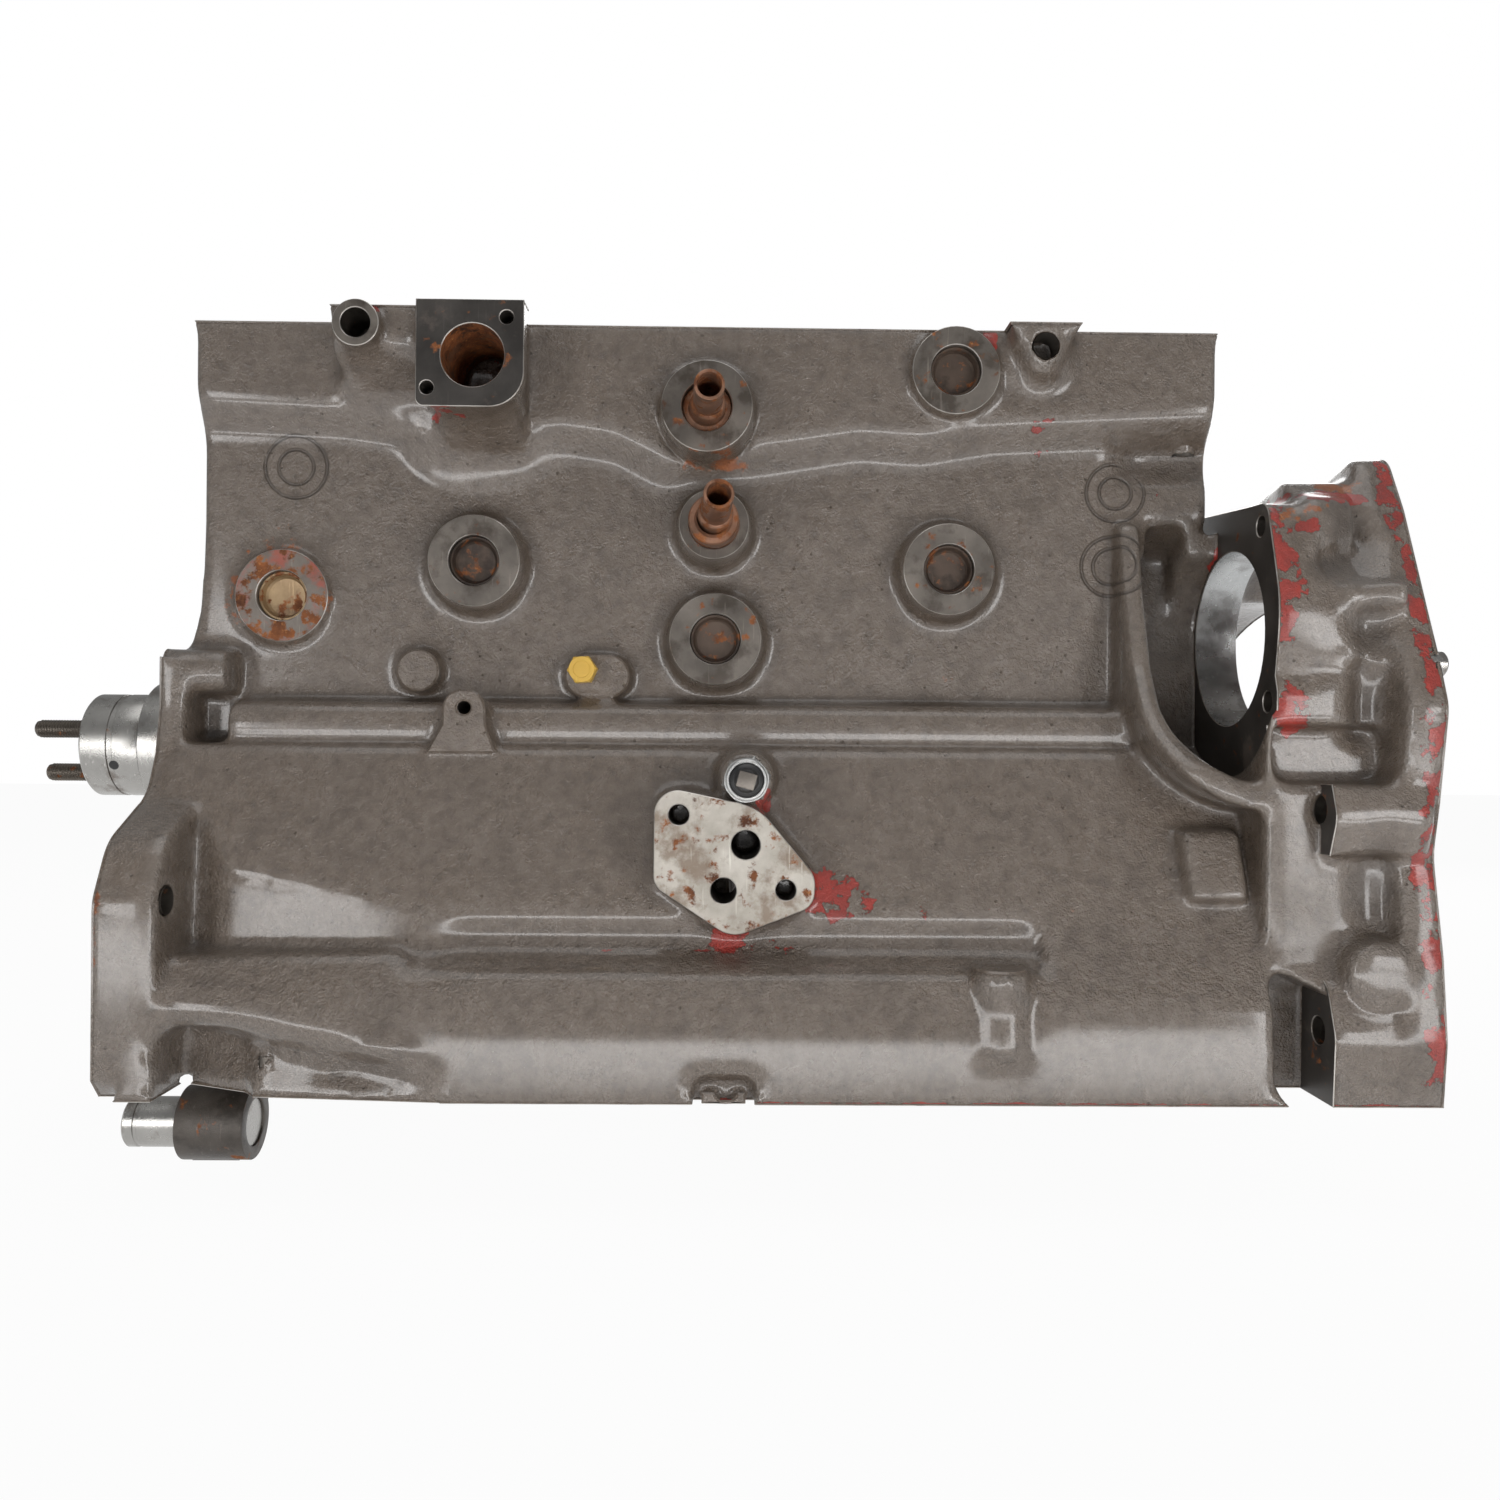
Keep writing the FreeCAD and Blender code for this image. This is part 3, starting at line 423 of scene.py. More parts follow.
def build_groups():
    """Shader groups that several finishes share."""
    n, given, out = start_group("cast_grain", {"Vector": (VECTOR, None), "Coarse": (FLOAT, 1.0)},
                                {"Height": FLOAT, "Pits": FLOAT})
    ripple = n.noise(given["Vector"], 330.0, 3.0, 0.6, 0.5)
    stipple = n.noise(given["Vector"], 900.0, 2.0, 0.6)
    waves = n.noise(given["Vector"], 60.0, 2.0, 0.5)
    cells = n.add("ShaderNodeTexVoronoi", {"Vector": given["Vector"], "Scale": 130.0}).outputs["Distance"]
    pits = n.spread(cells, 0.10, 0.02)
    body = n.math("ADD", n.math("MULTIPLY", ripple, 0.5), n.math("MULTIPLY", stipple, 0.3))
    body = n.math("MULTIPLY", body, given["Coarse"])
    body = n.math("ADD", body, n.math("MULTIPLY", waves, 0.5))
    n.put(out["Height"], n.math("SUBTRACT", body, n.math("MULTIPLY", pits, 0.35)))
    n.put(out["Pits"], pits)

    n, given, out = start_group("ragged", {"Vector": (VECTOR, None), "Mask": (FLOAT, 0.0),
                                           "Scale": (FLOAT, 90.0), "Edge": (FLOAT, 0.03)},
                                {"Mask": FLOAT})
    fine = n.add("ShaderNodeTexNoise", {"Vector": given["Vector"], "Scale": given["Scale"], "Detail": 6.0,
                                        "Roughness": 0.62}).outputs[0]
    level = n.math("SUBTRACT", n.math("ADD", given["Mask"], n.math("MULTIPLY", fine, 2.2)), 1.62)
    n.put(out["Mask"], n.math("DIVIDE", level, given["Edge"], clamp=True))

    n, given, out = start_group("rust_colour", {"Vector": (VECTOR, None),
                                                "Rust": (COLOR, (0.3, 0.1, 0.03, 1.0))},
                                {"Color": COLOR, "Roughness": FLOAT})
    patch = n.noise(given["Vector"], 70.0, 6.0, 0.65)
    grain = n.noise(given["Vector"], 500.0, 4.0, 0.6)
    dark = n.mix(1.0, given["Rust"], (0.25, 0.22, 0.22), "MULTIPLY")
    tone = n.mix(n.spread(patch, 0.35, 0.62), dark, given["Rust"])
    tone = n.mix(n.spread(grain, 0.55, 0.75, 0.0, 0.6), tone, (0.62, 0.26, 0.08))
    n.put(out["Color"], tone)
    n.put(out["Roughness"], n.spread(grain, 0.3, 0.7, 0.65, 0.9))

    n, given, out = start_group("machined", {"Vector": (VECTOR, None), "Scale": (FLOAT, 900.0)},
                                {"Height": FLOAT, "Tone": FLOAT})
    swirl = n.noise(given["Vector"], given["Scale"], 2.0, 0.5, 1.5)
    cloud = n.noise(given["Vector"], 45.0, 5.0, 0.6)
    n.put(out["Height"], swirl)
    n.put(out["Tone"], cloud)


MATERIALS = {}


def start_material(name):
    """New material: its nodes, its surface shader and Object coordinates."""
    material = bpy.data.materials.new(name)
    material.use_nodes = True
    nodes = Nodes(material.node_tree)
    MATERIALS[name] = material
    return nodes, material.node_tree.nodes["Principled BSDF"].inputs, nodes.place()


def bump(n, height, strength, distance):
    """Surface normal from a height."""
    sizes = {"Height": height, "Strength": strength, "Distance": distance}
    return n.add("ShaderNodeBump", sizes).outputs[0]


def core_prints(n, where):
    """Height of the round core prints on the starter side: a raised disc in a thin groove for each."""
    flat = n.add("ShaderNodeVectorMath", {0: where, 1: (1.0, 0.0, 1.0)}, operation="MULTIPLY").outputs[0]
    side = n.spread(n.add("ShaderNodeSeparateXYZ", {0: where}).outputs[1], -0.070, -0.074)
    total = None
    for x, z, outer, inner in PRINTS:
        centre = (x / MM, 0.0, z / MM)
        away = n.add("ShaderNodeVectorMath", {0: flat, 1: centre}, operation="DISTANCE").outputs["Value"]
        for radius in (outer / MM, inner / MM):
            off_line = n.math("ABSOLUTE", n.math("SUBTRACT", away, radius))
            groove = n.spread(off_line, 0.0003, 0.0011, 1.0, 0.0)
            total = groove if total is None else n.math("ADD", total, groove)
    return n.math("MULTIPLY", total, side)


def cast_paint(looks):
    """Semi-gloss dark paint over cast skin, chipped to red and rusted in places, with painted shade in
    hollows and core-print grooves and painted highlights on edges and as specks.
    """
    n, shader, where = start_material("cast_paint")
    grain = n.group("cast_grain", {"Vector": where, "Coarse": n.value("coarse")})
    cloud = n.noise(where, 9.0, 5.0, 0.6)
    smear = n.noise(where, 38.0, 6.0, 0.65, 0.6)
    base = n.mix(n.spread(cloud, 0.3, 0.7, 0.0, 0.55), tuple(looks.paint), (0.165, 0.132, 0.107))
    base = n.mix(n.spread(smear, 0.48, 0.72, 0.0, 0.5), base, (0.078, 0.058, 0.043))
    mottle = n.noise(where, 150.0, 4.0, 0.65)
    base = n.mix(n.spread(mottle, 0.50, 0.68, 0.0, 0.5), base, (0.20, 0.165, 0.138))
    base = n.mix(n.spread(mottle, 0.50, 0.32, 0.0, 0.5), base, (0.065, 0.049, 0.037))
    # Painted shade: the paint turns near-black in hollows, creases and the dents beside the housing lip.
    hollow = n.value("hollow")
    base = n.mix(n.math("MULTIPLY", hollow, 0.55), base, (0.03, 0.022, 0.017))
    # Painted highlight: the paint turns lighter on convex edges.
    base = n.mix(n.math("MULTIPLY", n.value("edge"), 0.4), base, (0.26, 0.235, 0.21))
    print_height = core_prints(n, where)
    # Painted shade: darker paint along the thin grooves of the core prints.
    base = n.mix(n.math("MULTIPLY", print_height, 0.4), base, (0.04, 0.031, 0.025))
    # Painted highlight: small light specks stand in for glints.
    painted_glints = n.add("ShaderNodeTexVoronoi", {"Vector": where, "Scale": 210.0}).outputs["Distance"]
    base = n.mix(n.spread(painted_glints, 0.07, 0.03, 0.0, 0.5), base, (0.34, 0.31, 0.28))
    rust_mask = n.ragged(where, n.value("rust"), 70.0, 0.12)
    rust = n.group("rust_colour", {"Vector": where, "Rust": (*looks.rust, 1.0)})
    chip = n.ragged(where, n.value("chip"), 85.0, 0.04)
    red_tone = n.noise(where, 60.0, 4.0, 0.6)
    under_paint = tuple(looks.under_paint)
    red = n.mix(n.spread(red_tone, 0.35, 0.7), darker(under_paint, 0.55), under_paint)
    base = n.mix(rust_mask, base, rust["Color"])
    base = n.mix(chip, base, red)
    n.put(shader["Base Color"], base)
    rough = n.spread(smear, 0.35, 0.7, 0.22, 0.38)
    rough = n.math("ADD", rough, n.math("MULTIPLY", hollow, 0.15))
    rough = n.math("MAXIMUM", rough, n.math("MULTIPLY", rust_mask, 0.75))
    rough = n.math("MAXIMUM", rough, n.math("MULTIPLY", chip, 0.5))
    n.put(shader["Roughness"], rough)
    height = n.math("SUBTRACT", grain["Height"], n.math("MULTIPLY", chip, 0.25))
    height = n.math("SUBTRACT", height, n.math("MULTIPLY", print_height, 0.4))
    n.put(shader["Normal"], bump(n, height, 1.0, 0.0026))
    shader["Specular IOR Level"].default_value = 0.6
    shader["Coat Weight"].default_value = 0.8
    shader["Coat Roughness"].default_value = 0.15


def iron_finish(name, tone_low, tone_high, stain, stain_share, rough, metal, rust_share=0.0, height=0.25):
    """Machined cast iron: two tones in clouds, dark oil stains and a little rust."""
    n, shader, where = start_material(name)
    parts = n.group("machined", {"Vector": where, "Scale": 1100.0})
    base = n.mix(n.spread(parts["Tone"], 0.35, 0.65), tone_low, tone_high)
    blots = n.ragged(where, stain_share, 55.0, 0.25)
    base = n.mix(n.math("MULTIPLY", blots, 0.7), base, stain)
    scratch = n.add("ShaderNodeMapping", {"Vector": where, "Scale": (1.0, 1.0, 0.06),
                                          "Rotation": (0.4, 0.9, 0.3)}).outputs[0]
    lines = n.spread(n.noise(scratch, 700.0, 2.0, 0.5), 0.66, 0.74)
    base = n.mix(n.math("MULTIPLY", lines, 0.35), base, tuple(min(1.0, c * 1.8) for c in tone_high))
    level = n.spread(parts["Tone"], 0.3, 0.7, rough - 0.07, rough + 0.09)
    shader["Metallic"].default_value = metal
    if rust_share:
        spots = n.ragged(where, rust_share, 120.0, 0.15)
        rust = n.group("rust_colour", {"Vector": where})
        base = n.mix(spots, base, rust["Color"])
        level = n.math("MAXIMUM", level, n.math("MULTIPLY", spots, 0.8))
        if metal:
            n.put(shader["Metallic"], n.math("MULTIPLY", n.math("SUBTRACT", 1.0, spots), metal))
    n.put(shader["Base Color"], base)
    n.put(shader["Roughness"], level)
    n.put(shader["Normal"], bump(n, parts["Height"], height, 0.0002))


# Finishes of one constant recipe: low and high tone, stain, share of stain, roughness, metal, share of rust
# and depth of the relief where it isn't the usual one
FINISHES = {
    "deck_iron": ((0.18, 0.16, 0.14), (0.28, 0.25, 0.22), (0.09, 0.07, 0.055), 0.46, 0.34, 0.7, 0.30),
    "bore_iron": ((0.07, 0.06, 0.05), (0.13, 0.115, 0.10), (0.03, 0.024, 0.02), 0.5, 0.34, 0.6, 0.22),
    "dark_face": ((0.035, 0.031, 0.028), (0.065, 0.058, 0.052), (0.14, 0.115, 0.097), 0.30, 0.40, 0.2,
                  0.25),
    "bright_bore": ((0.42, 0.43, 0.43), (0.60, 0.61, 0.61), (0.26, 0.255, 0.25), 0.45, 0.26, 0.95),
    "rusty_bore": ((0.09, 0.045, 0.028), (0.18, 0.08, 0.04), (0.02, 0.014, 0.011), 0.55, 0.55, 0.1, 0.70),
    "gasket_face": ((0.36, 0.325, 0.275), (0.60, 0.56, 0.50), (0.17, 0.105, 0.06), 0.56, 0.5, 0.1, 0.38),
    "bare_casting": ((0.06, 0.05, 0.042), (0.12, 0.104, 0.09), (0.035, 0.028, 0.023), 0.5, 0.38, 0.3,
                     0.30, 1.0),
    "worn_edge": ((0.42, 0.39, 0.36), (0.62, 0.59, 0.55), (0.12, 0.09, 0.07), 0.42, 0.33, 0.85, 0.22),
    "brassy_cup": ((0.24, 0.16, 0.085), (0.46, 0.33, 0.19), (0.09, 0.045, 0.025), 0.48, 0.38, 0.5, 0.44),
    "rusty_cup": ((0.06, 0.042, 0.031), (0.115, 0.08, 0.06), (0.022, 0.015, 0.012), 0.5, 0.5, 0.3, 0.40),
    "dark_steel": ((0.10, 0.085, 0.07), (0.18, 0.155, 0.13), (0.05, 0.035, 0.03), 0.45, 0.42, 0.6, 0.35),
    # Black plastic of the switch cap; the same black also serves as painted shade on the disc at the oil
    # hole.
    "black_insulator_and_hole_shade": ((0.018, 0.018, 0.019), (0.035, 0.034, 0.034), (0.09, 0.08, 0.07), 0.30, 0.38, 0.0),
}


def darker(colour, share):
    """Colour with each channel multiplied by the share."""
    return tuple(c * share for c in colour)


def build_materials(casting, fittings):
    """Every finish of the object."""
    build_groups()
    cast_paint(casting)
    iron, steel, zinc = tuple(casting.iron), tuple(fittings.steel), tuple(fittings.zinc)
    copper, yellow = tuple(fittings.copper), tuple(fittings.yellow)
    iron_finish("ring_face", darker(iron, 0.6), iron, (0.06, 0.046, 0.035), 0.50, 0.36, 0.4, 0.28)
    iron_finish("red_ring", (0.13, 0.105, 0.085), iron, (0.40, 0.07, 0.04), 0.56, 0.45, 0.1, 0.52)
    iron_finish("turned_steel", darker(steel, 0.8), steel, (0.15, 0.12, 0.10), 0.40, 0.26, 0.9, 0.15)
    iron_finish("zinc_plate", darker(zinc, 0.8), zinc, (0.16, 0.14, 0.12), 0.38, 0.35, 0.8, 0.05)
    iron_finish("pipe_metal", darker(copper, 0.55), copper, (0.10, 0.06, 0.04), 0.45, 0.42, 0.6, 0.52)
    iron_finish("yellow_paint", darker(yellow, 0.85), yellow, (0.35, 0.20, 0.05), 0.36, 0.42, 0.0, 0.10)
    for name, recipe in FINISHES.items():
        iron_finish(name, *recipe)


# ---------------------------------------------------------------- machined faces

FIRST_ROUND = 1000
SKIRT_DEPTH = 1.6
PAINTED_EDGE = 2.4


def triangles_of(mesh):
    """Triangle corners as an F x 3 array."""
    mesh.calc_loop_triangles()
    flat = np.empty(len(mesh.loop_triangles) * 3, np.int32)
    mesh.loop_triangles.foreach_get("vertices", flat)
    return flat.reshape(-1, 3)


def all_planes():
    """Machined planes, with the ring face of each round boss added."""
    bosses = (*PLUGS, *PIPE_BOSSES)
    return PLANES + [(1, y, -1, "red_ring" if number == 0 else "ring_face", (x - r - 1, x + r + 1),
                      (z - r - 1, z + r + 1)) for number, (x, z, y, r) in enumerate(bosses)]


def all_rounds():
    """Round walls by axis, with the plug and pipe bores of the jacket wall added."""
    rounds = {axis: [item if len(item) == 4 else (*item, "bore_iron") for item in items]
              for axis, items in ROUND.items()}
    rounds[1] += [(x, z, PLUG_BORE_R, "ring_face") for x, z, _, _ in PLUGS]
    rounds[1] += [(x, z, PIPE_SEAT_R, "ring_face") for x, z, _, _ in PIPE_BOSSES]
    return rounds


def sort_triangles(points, corners):
    """Number of the machined plane, or of the round wall from FIRST_ROUND, under each triangle, or -1."""
    a, b, c = (points[corners[:, i]] for i in range(3))
    across = np.cross(b - a, c - a)
    normal = across / np.maximum(np.linalg.norm(across, axis=1), 1e-12)[:, None]
    ends = points[corners]
    middle = ends.mean(axis=1)
    kind = np.full(len(corners), -1)
    for number, (axis, place, sign, _, first, second) in enumerate(all_planes()):
        u, v = [a for a in range(3) if a != axis]
        flat = (np.abs(ends[:, :, axis] - place) < 0.02).all(axis=1) & (normal[:, axis] * sign > 0.9)
        inside = ((middle[:, u] > first[0]) & (middle[:, u] < first[1])
                  & (middle[:, v] > second[0]) & (middle[:, v] < second[1]))
        kind[flat & inside & (kind < 0)] = number
    number = FIRST_ROUND
    for axis, items in all_rounds().items():
        u, v = [a for a in range(3) if a != axis]
        for centre_u, centre_v, radius, _ in items:
            away = np.hypot(ends[:, :, u] - centre_u, ends[:, :, v] - centre_v)
            on_wall = (np.abs(away - radius) < 0.03).all(axis=1) & (np.abs(normal[:, axis]) < 0.3)
            kind[on_wall & (kind < 0)] = number
            number += 1
    return kind, normal


def bevelled_face(points, corners, normal, bevel, skirt, rims):
    """Flat face with its border drawn in by the bevel, a chamfer strip and, off the holes, a leaning skirt.

    Each border point moves along the mitre of its two edges' inward directions.
    """
    used, local = np.unique(corners, return_inverse=True)
    local = local.reshape(-1, 3)
    flat = points[used]
    count = len(used)
    edges = np.concatenate([local[:, [0, 1]], local[:, [1, 2]], local[:, [2, 0]]])
    border = edges[~np.isin(edges[:, 0] * count + edges[:, 1], edges[:, 1] * count + edges[:, 0])]
    along = flat[border[:, 1]] - flat[border[:, 0]]
    inward = np.cross(normal, along / np.maximum(np.linalg.norm(along, axis=1), 1e-9)[:, None])
    total = np.zeros((count, 3))
    for end in (0, 1):
        np.add.at(total, border[:, end], inward)
    mitre = 2 * total / np.maximum((total ** 2).sum(axis=1), 0.6)[:, None]
    mitre /= np.maximum(np.linalg.norm(mitre, axis=1) / 1.5, 1.0)[:, None]
    top = flat + bevel * mitre
    middle = flat - bevel * normal
    bottom = flat - skirt * normal + 0.55 * skirt * mitre
    a, b = border.T
    strips = np.stack([a + count, b + count, b, a], axis=1)
    on_rim = np.isin(used, rims)
    outer = border[~(on_rim[border[:, 0]] & on_rim[border[:, 1]])]
    c, d = outer.T
    skirts = np.stack([c + 2 * count, d + 2 * count, d + count, c + count], axis=1)
    return np.concatenate([top, middle, bottom]), local, strips, skirts, used[np.unique(border)]


def machined_faces(looks):
    """Mesh of every machined plane and bore of the casting, crisp, with worn bevels."""
    source = merged_copy("block_casting")
    points = points_of(source)
    corners = triangles_of(source)
    kind, normal = sort_triangles(points, corners)
    bevel = looks.worn_edge * MM
    walls = corners[kind >= FIRST_ROUND]
    wall_points = np.unique(walls)
    moved = points.copy()
    round_finishes = [item[3] for items in all_rounds().values() for item in items]
    finishes = sorted({plane[3] for plane in all_planes()} | set(round_finishes))
    slots = {name: i for i, name in enumerate(dict.fromkeys(finishes + ["worn_edge", "cast_paint"]))}
    vertices, faces, finish, start = [], [], [], 0
    for number, (_, _, _, name, _, _) in enumerate(all_planes()):
        mine = corners[kind == number]
        if not len(mine):
            continue
        out = normal[kind == number][0]
        painted = name == "cast_paint"
        width = bevel * (PAINTED_EDGE if painted else 1.0)
        verts, flat, strips, skirts, border = bevelled_face(points, mine, out, width, SKIRT_DEPTH,
                                                            wall_points)
        vertices.append(verts)
        edge_finish = name if painted else "worn_edge"
        for part, slot in ((flat, name), (strips, edge_finish), (skirts, "cast_paint")):
            faces += (part + start).tolist()
            finish += [slots[slot]] * len(part)
        start += len(verts)
        shared = np.intersect1d(border, wall_points)
        moved[shared] = points[shared] - width * out
    vertices.append(moved)
    faces += (walls + start).tolist()
    finish += [slots[round_finishes[k - FIRST_ROUND]] for k in kind[kind >= FIRST_ROUND]]
    mesh = bpy.data.meshes.new("machined_faces")
    mesh.from_pydata((np.concatenate(vertices) / MM).tolist(), [], faces)
    for name in slots:
        mesh.materials.append(MATERIALS[name])
    mesh.polygons.foreach_set("material_index", np.array(finish, np.int32))
    work = bmesh.new()
    work.from_mesh(mesh)
    bmesh.ops.delete(work, geom=[v for v in work.verts if not v.link_faces], context="VERTS")
    work.to_mesh(mesh)
    work.free()
    for name, value in (("coarse", 0.6), ("hollow", 0.0), ("edge", 0.0), ("chip", 0.0), ("rust", 0.0)):
        add_value(mesh, name, np.full(len(mesh.vertices), value))
    bpy.data.meshes.remove(source)
    return shaded(mesh, 28.0)


def edge_pairs(mesh):
    """Edge ends as an E x 2 array."""
    flat = np.empty(len(mesh.edges) * 2, np.int32)
    mesh.edges.foreach_get("vertices", flat)
    return flat.reshape(-1, 2)


def relax(points, pairs, weight, passes):
    """Moves each point towards the mean of its neighbours by its weight, pass after pass."""
    count = len(points)
    degree = np.maximum(np.bincount(pairs.ravel(), minlength=count), 1)[:, None]
    for _ in range(passes):
        total = np.stack([np.bincount(pairs[:, 0], points[pairs[:, 1], a], count)
                          + np.bincount(pairs[:, 1], points[pairs[:, 0], a], count)
                          for a in range(points.shape[1])], axis=1)
        points = points + weight[:, None] * (total / degree - points)
    return points


def nearest_on(points, target):
    """Nearest places on the target object's surface, by way of a shrinkwrap."""
    mesh = bpy.data.meshes.new("probe")
    mesh.from_pydata((points / MM).tolist(), [], [])
    probe = link_piece("probe", mesh)
    wrap = probe.modifiers.new("wrap", "SHRINKWRAP")
    wrap.wrap_method = "NEAREST_SURFACEPOINT"
    wrap.target = target
    found = points_of(evaluated(probe))
    bpy.data.objects.remove(probe)
    return found


def patch_field(points, patches):
    """Strongest of the patches at each point: each falls off as a bell curve in x and z."""
    x, _, z = points.T
    field = np.zeros(len(points))
    for centre_x, centre_z, wide, high, strength in patches:
        square = ((x - centre_x) / wide) ** 2 + ((z - centre_z) / high) ** 2
        field = np.maximum(field, strength * np.exp(-0.5 * square ** 2))
    return field


def chip_patches(points):
    """Strength of the red chips and of the rust at each vertex."""
    x, y, z = points.T
    near = smoothstep(-55.0, -70.0, y)
    lip = 0.60 * smoothstep(321.0, 331.0, x) * smoothstep(-46.0, -10.0, z)
    sump = 0.62 * smoothstep(-37.2, -39.2, z) * smoothstep(-80.0, 20.0, x)
    chip = np.maximum(np.maximum(patch_field(points, CHIPS), lip), sump) * near
    return chip, patch_field(points, RUST) * near


def shoulder_wave(points):
    """Redraws the shoulder of the starter side: its lower edge waves between the cylinders."""
    x, y, z = points.T
    plain = np.interp(z, (276.0, 303.0), (BANK_Y, BAND_Y))
    low = np.interp(x, *np.array(SHOULDER, float).T)
    wavy = BANK_Y + (BAND_Y - BANK_Y) * smoothstep(low - 3.0, low + 17.0, z)
    share = smoothstep(5.0, 1.0, np.abs(y - plain)) * (np.abs(x) < 263.0)
    share = share * smoothstep(236.0, 244.0, z) * smoothstep(318.0, 312.0, z)
    hollow = 8.0 * smoothstep(206.0, 226.0, x) * smoothstep(262.0, 268.0, z) * smoothstep(287.0, 281.0, z)
    moved = points.copy()
    moved[:, 1] += share * (wavy - plain + hollow)
    return moved


def bell(value, middle, half):
    """One at the middle, falling off as a bell curve over the half width."""
    return np.exp(-0.5 * ((value - middle) / half) ** 2)


def side_relief(points):
    """Hollows beside the housing lip, the swept foot at the front end of the skirt, and the long ribs."""
    x, y, z = points.T
    push = patch_field(points, DENTS) * smoothstep(-100.0, -112.0, y)
    crest = 3.0 - 0.2 * (x + 240.0)
    foot = smoothstep(-243.0, -226.0, x) * smoothstep(-118.0, -150.0, x) * smoothstep(-120.0, -135.0, y)
    under = bell(z, crest - 14.0, 6.0) * smoothstep(-38.0, -30.0, z)
    push += 4.0 * foot * (under - bell(z, crest, 4.0))
    span = smoothstep(RIB_X[0] - 14.0, RIB_X[0], x) * smoothstep(RIB_X[1] + 10.0, RIB_X[1], x)
    span *= smoothstep(-112.0, -124.0, y)
    for centre_z, high, depth in RIBS:
        push += depth * span * bell(z, centre_z, high)
    moved = points.copy()
    moved[:, 1] += push
    return moved


# In mm: how far the skin sinks under a machined face, and the swelling that counts as a full edge (painted
# highlight) or hollow (painted shade)
FACE_SINK = 0.4
FULL_BULGE = 1.6


def soft_places(points):
    """Share of extra smoothing at each point: one inside the ellipses of SOFT, on the starter side."""
    x, y, z = points.T
    soft = np.zeros(len(points))
    for centre_x, centre_z, wide, high in SOFT:
        square = ((x - centre_x) / wide) ** 2 + ((z - centre_z) / high) ** 2
        soft = np.maximum(soft, smoothstep(1.0, 0.6, square))
    return soft * smoothstep(-60.0, -72.0, y)


def thinned(skin, mesh, triangles):
    """Skin with fewer triangles, which keeps the shading of the dense mesh."""
    dense = link_piece("dense_skin", mesh.copy())
    dense.data.shade_smooth()
    thin = skin.modifiers.new("thin", "DECIMATE")
    thin.ratio = min(1.0, triangles / (2.0 * len(mesh.polygons)))
    thin.use_collapse_triangulate = True
    evaluated(skin).shade_smooth()
    carry = skin.modifiers.new("normals", "DATA_TRANSFER")
    carry.object = dense
    carry.use_loop_data = True
    carry.data_types_loops = {"CUSTOM_NORMAL"}
    carry.loop_mapping = "POLYINTERP_NEAREST"
    mesh = evaluated(skin)
    bpy.data.objects.remove(dense)
    return mesh


def cast_skin(looks):
    """Casting with rounded edges and fillets, its machined places sunk a little under the crisp faces."""
    grid_size = looks.voxel
    skin = link_piece("block_casting_skin", merged_copy("block_casting"))
    grid = skin.modifiers.new("grid", "REMESH")
    grid.mode = "VOXEL"
    grid.voxel_size = grid_size
    evaluated(skin)
    wrap = skin.modifiers.new("wrap", "SHRINKWRAP")
    wrap.wrap_method = "NEAREST_SURFACEPOINT"
    wrap.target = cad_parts["block_casting"]
    mesh = evaluated(skin)
    points = points_of(mesh)
    normal = normals_of(mesh)
    crisp = bpy.data.objects["machined_faces"]
    away = np.linalg.norm(nearest_on(points, crisp) - points, axis=1)
    step = grid_size * MM
    machined = away < 0.45 * step
    pairs = edge_pairs(mesh)
    free = np.where(machined, 0.0, 0.5 * smoothstep(0.3 * step, 5.0, away) + 0.03)
    passes = looks.rounding
    points[machined] -= FACE_SINK * normal[machined]
    points[~machined] = side_relief(shoulder_wave(points[~machined]))
    smooth = relax(points, pairs, free, passes)
    smooth = relax(smooth, pairs, free * soft_places(smooth), 3 * passes)
    put_points(mesh, smooth)
    normal = normals_of(mesh)
    wide = relax(smooth, pairs, np.full(len(smooth), 0.5), passes)
    bulge = ((smooth - wide) * normal).sum(axis=1)
    # Painted shade: dark in the dents beside the housing lip and wherever the skin is hollow.
    hollow_shade = patch_field(smooth, [(*dent[:4], 0.9) for dent in DENTS])
    hollow_shade *= smoothstep(-96.0, -106.0, smooth[:, 1])
    hollow_shade = np.maximum(hollow_shade, np.clip(-bulge / FULL_BULGE, 0.0, 1.0))
    add_value(mesh, "hollow", np.where(machined, 0.0, hollow_shade))
    # Painted highlight: lighter on the convex edges of the skin.
    add_value(mesh, "edge", np.where(machined, 0.0, np.clip(bulge / FULL_BULGE, 0.0, 1.0)))
    chip, rust = chip_patches(smooth)
    add_value(mesh, "chip", chip)
    add_value(mesh, "rust", rust)
    add_value(mesh, "coarse", 0.7 + 0.6 * smoothstep(60.0, 20.0, smooth[:, 2]))
    mesh = thinned(skin, mesh, looks.triangles)
    mesh.materials.clear()
    mesh.materials.append(MATERIALS["cast_paint"])
    return skin


# ---------------------------------------------------------------- operators

def finish_piece(piece, materials=(), nodes=()):
    """Hands a finished piece to the frame."""
    for name in materials:
        piece.data.materials.append(MATERIALS[name])
    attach(piece, "root")
    if nodes:
        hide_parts(*nodes)
    return piece


def make_piece(name, grids, slot, finish, *nodes):
    """Piece made of grids, which stands for the CAD nodes named."""
    return finish_piece(link_piece(name, grids_to_mesh(name, grids)), (finish,), nodes)


class BLOCK_OT_materials(bpy.types.Operator):
    """Make every finish"""
    bl_idname = "engine_block.materials"
    bl_label = "Finishes"

    def execute(self, context):
        build_materials(context.scene.casting_looks, context.scene.fitting_looks)
        return {"FINISHED"}


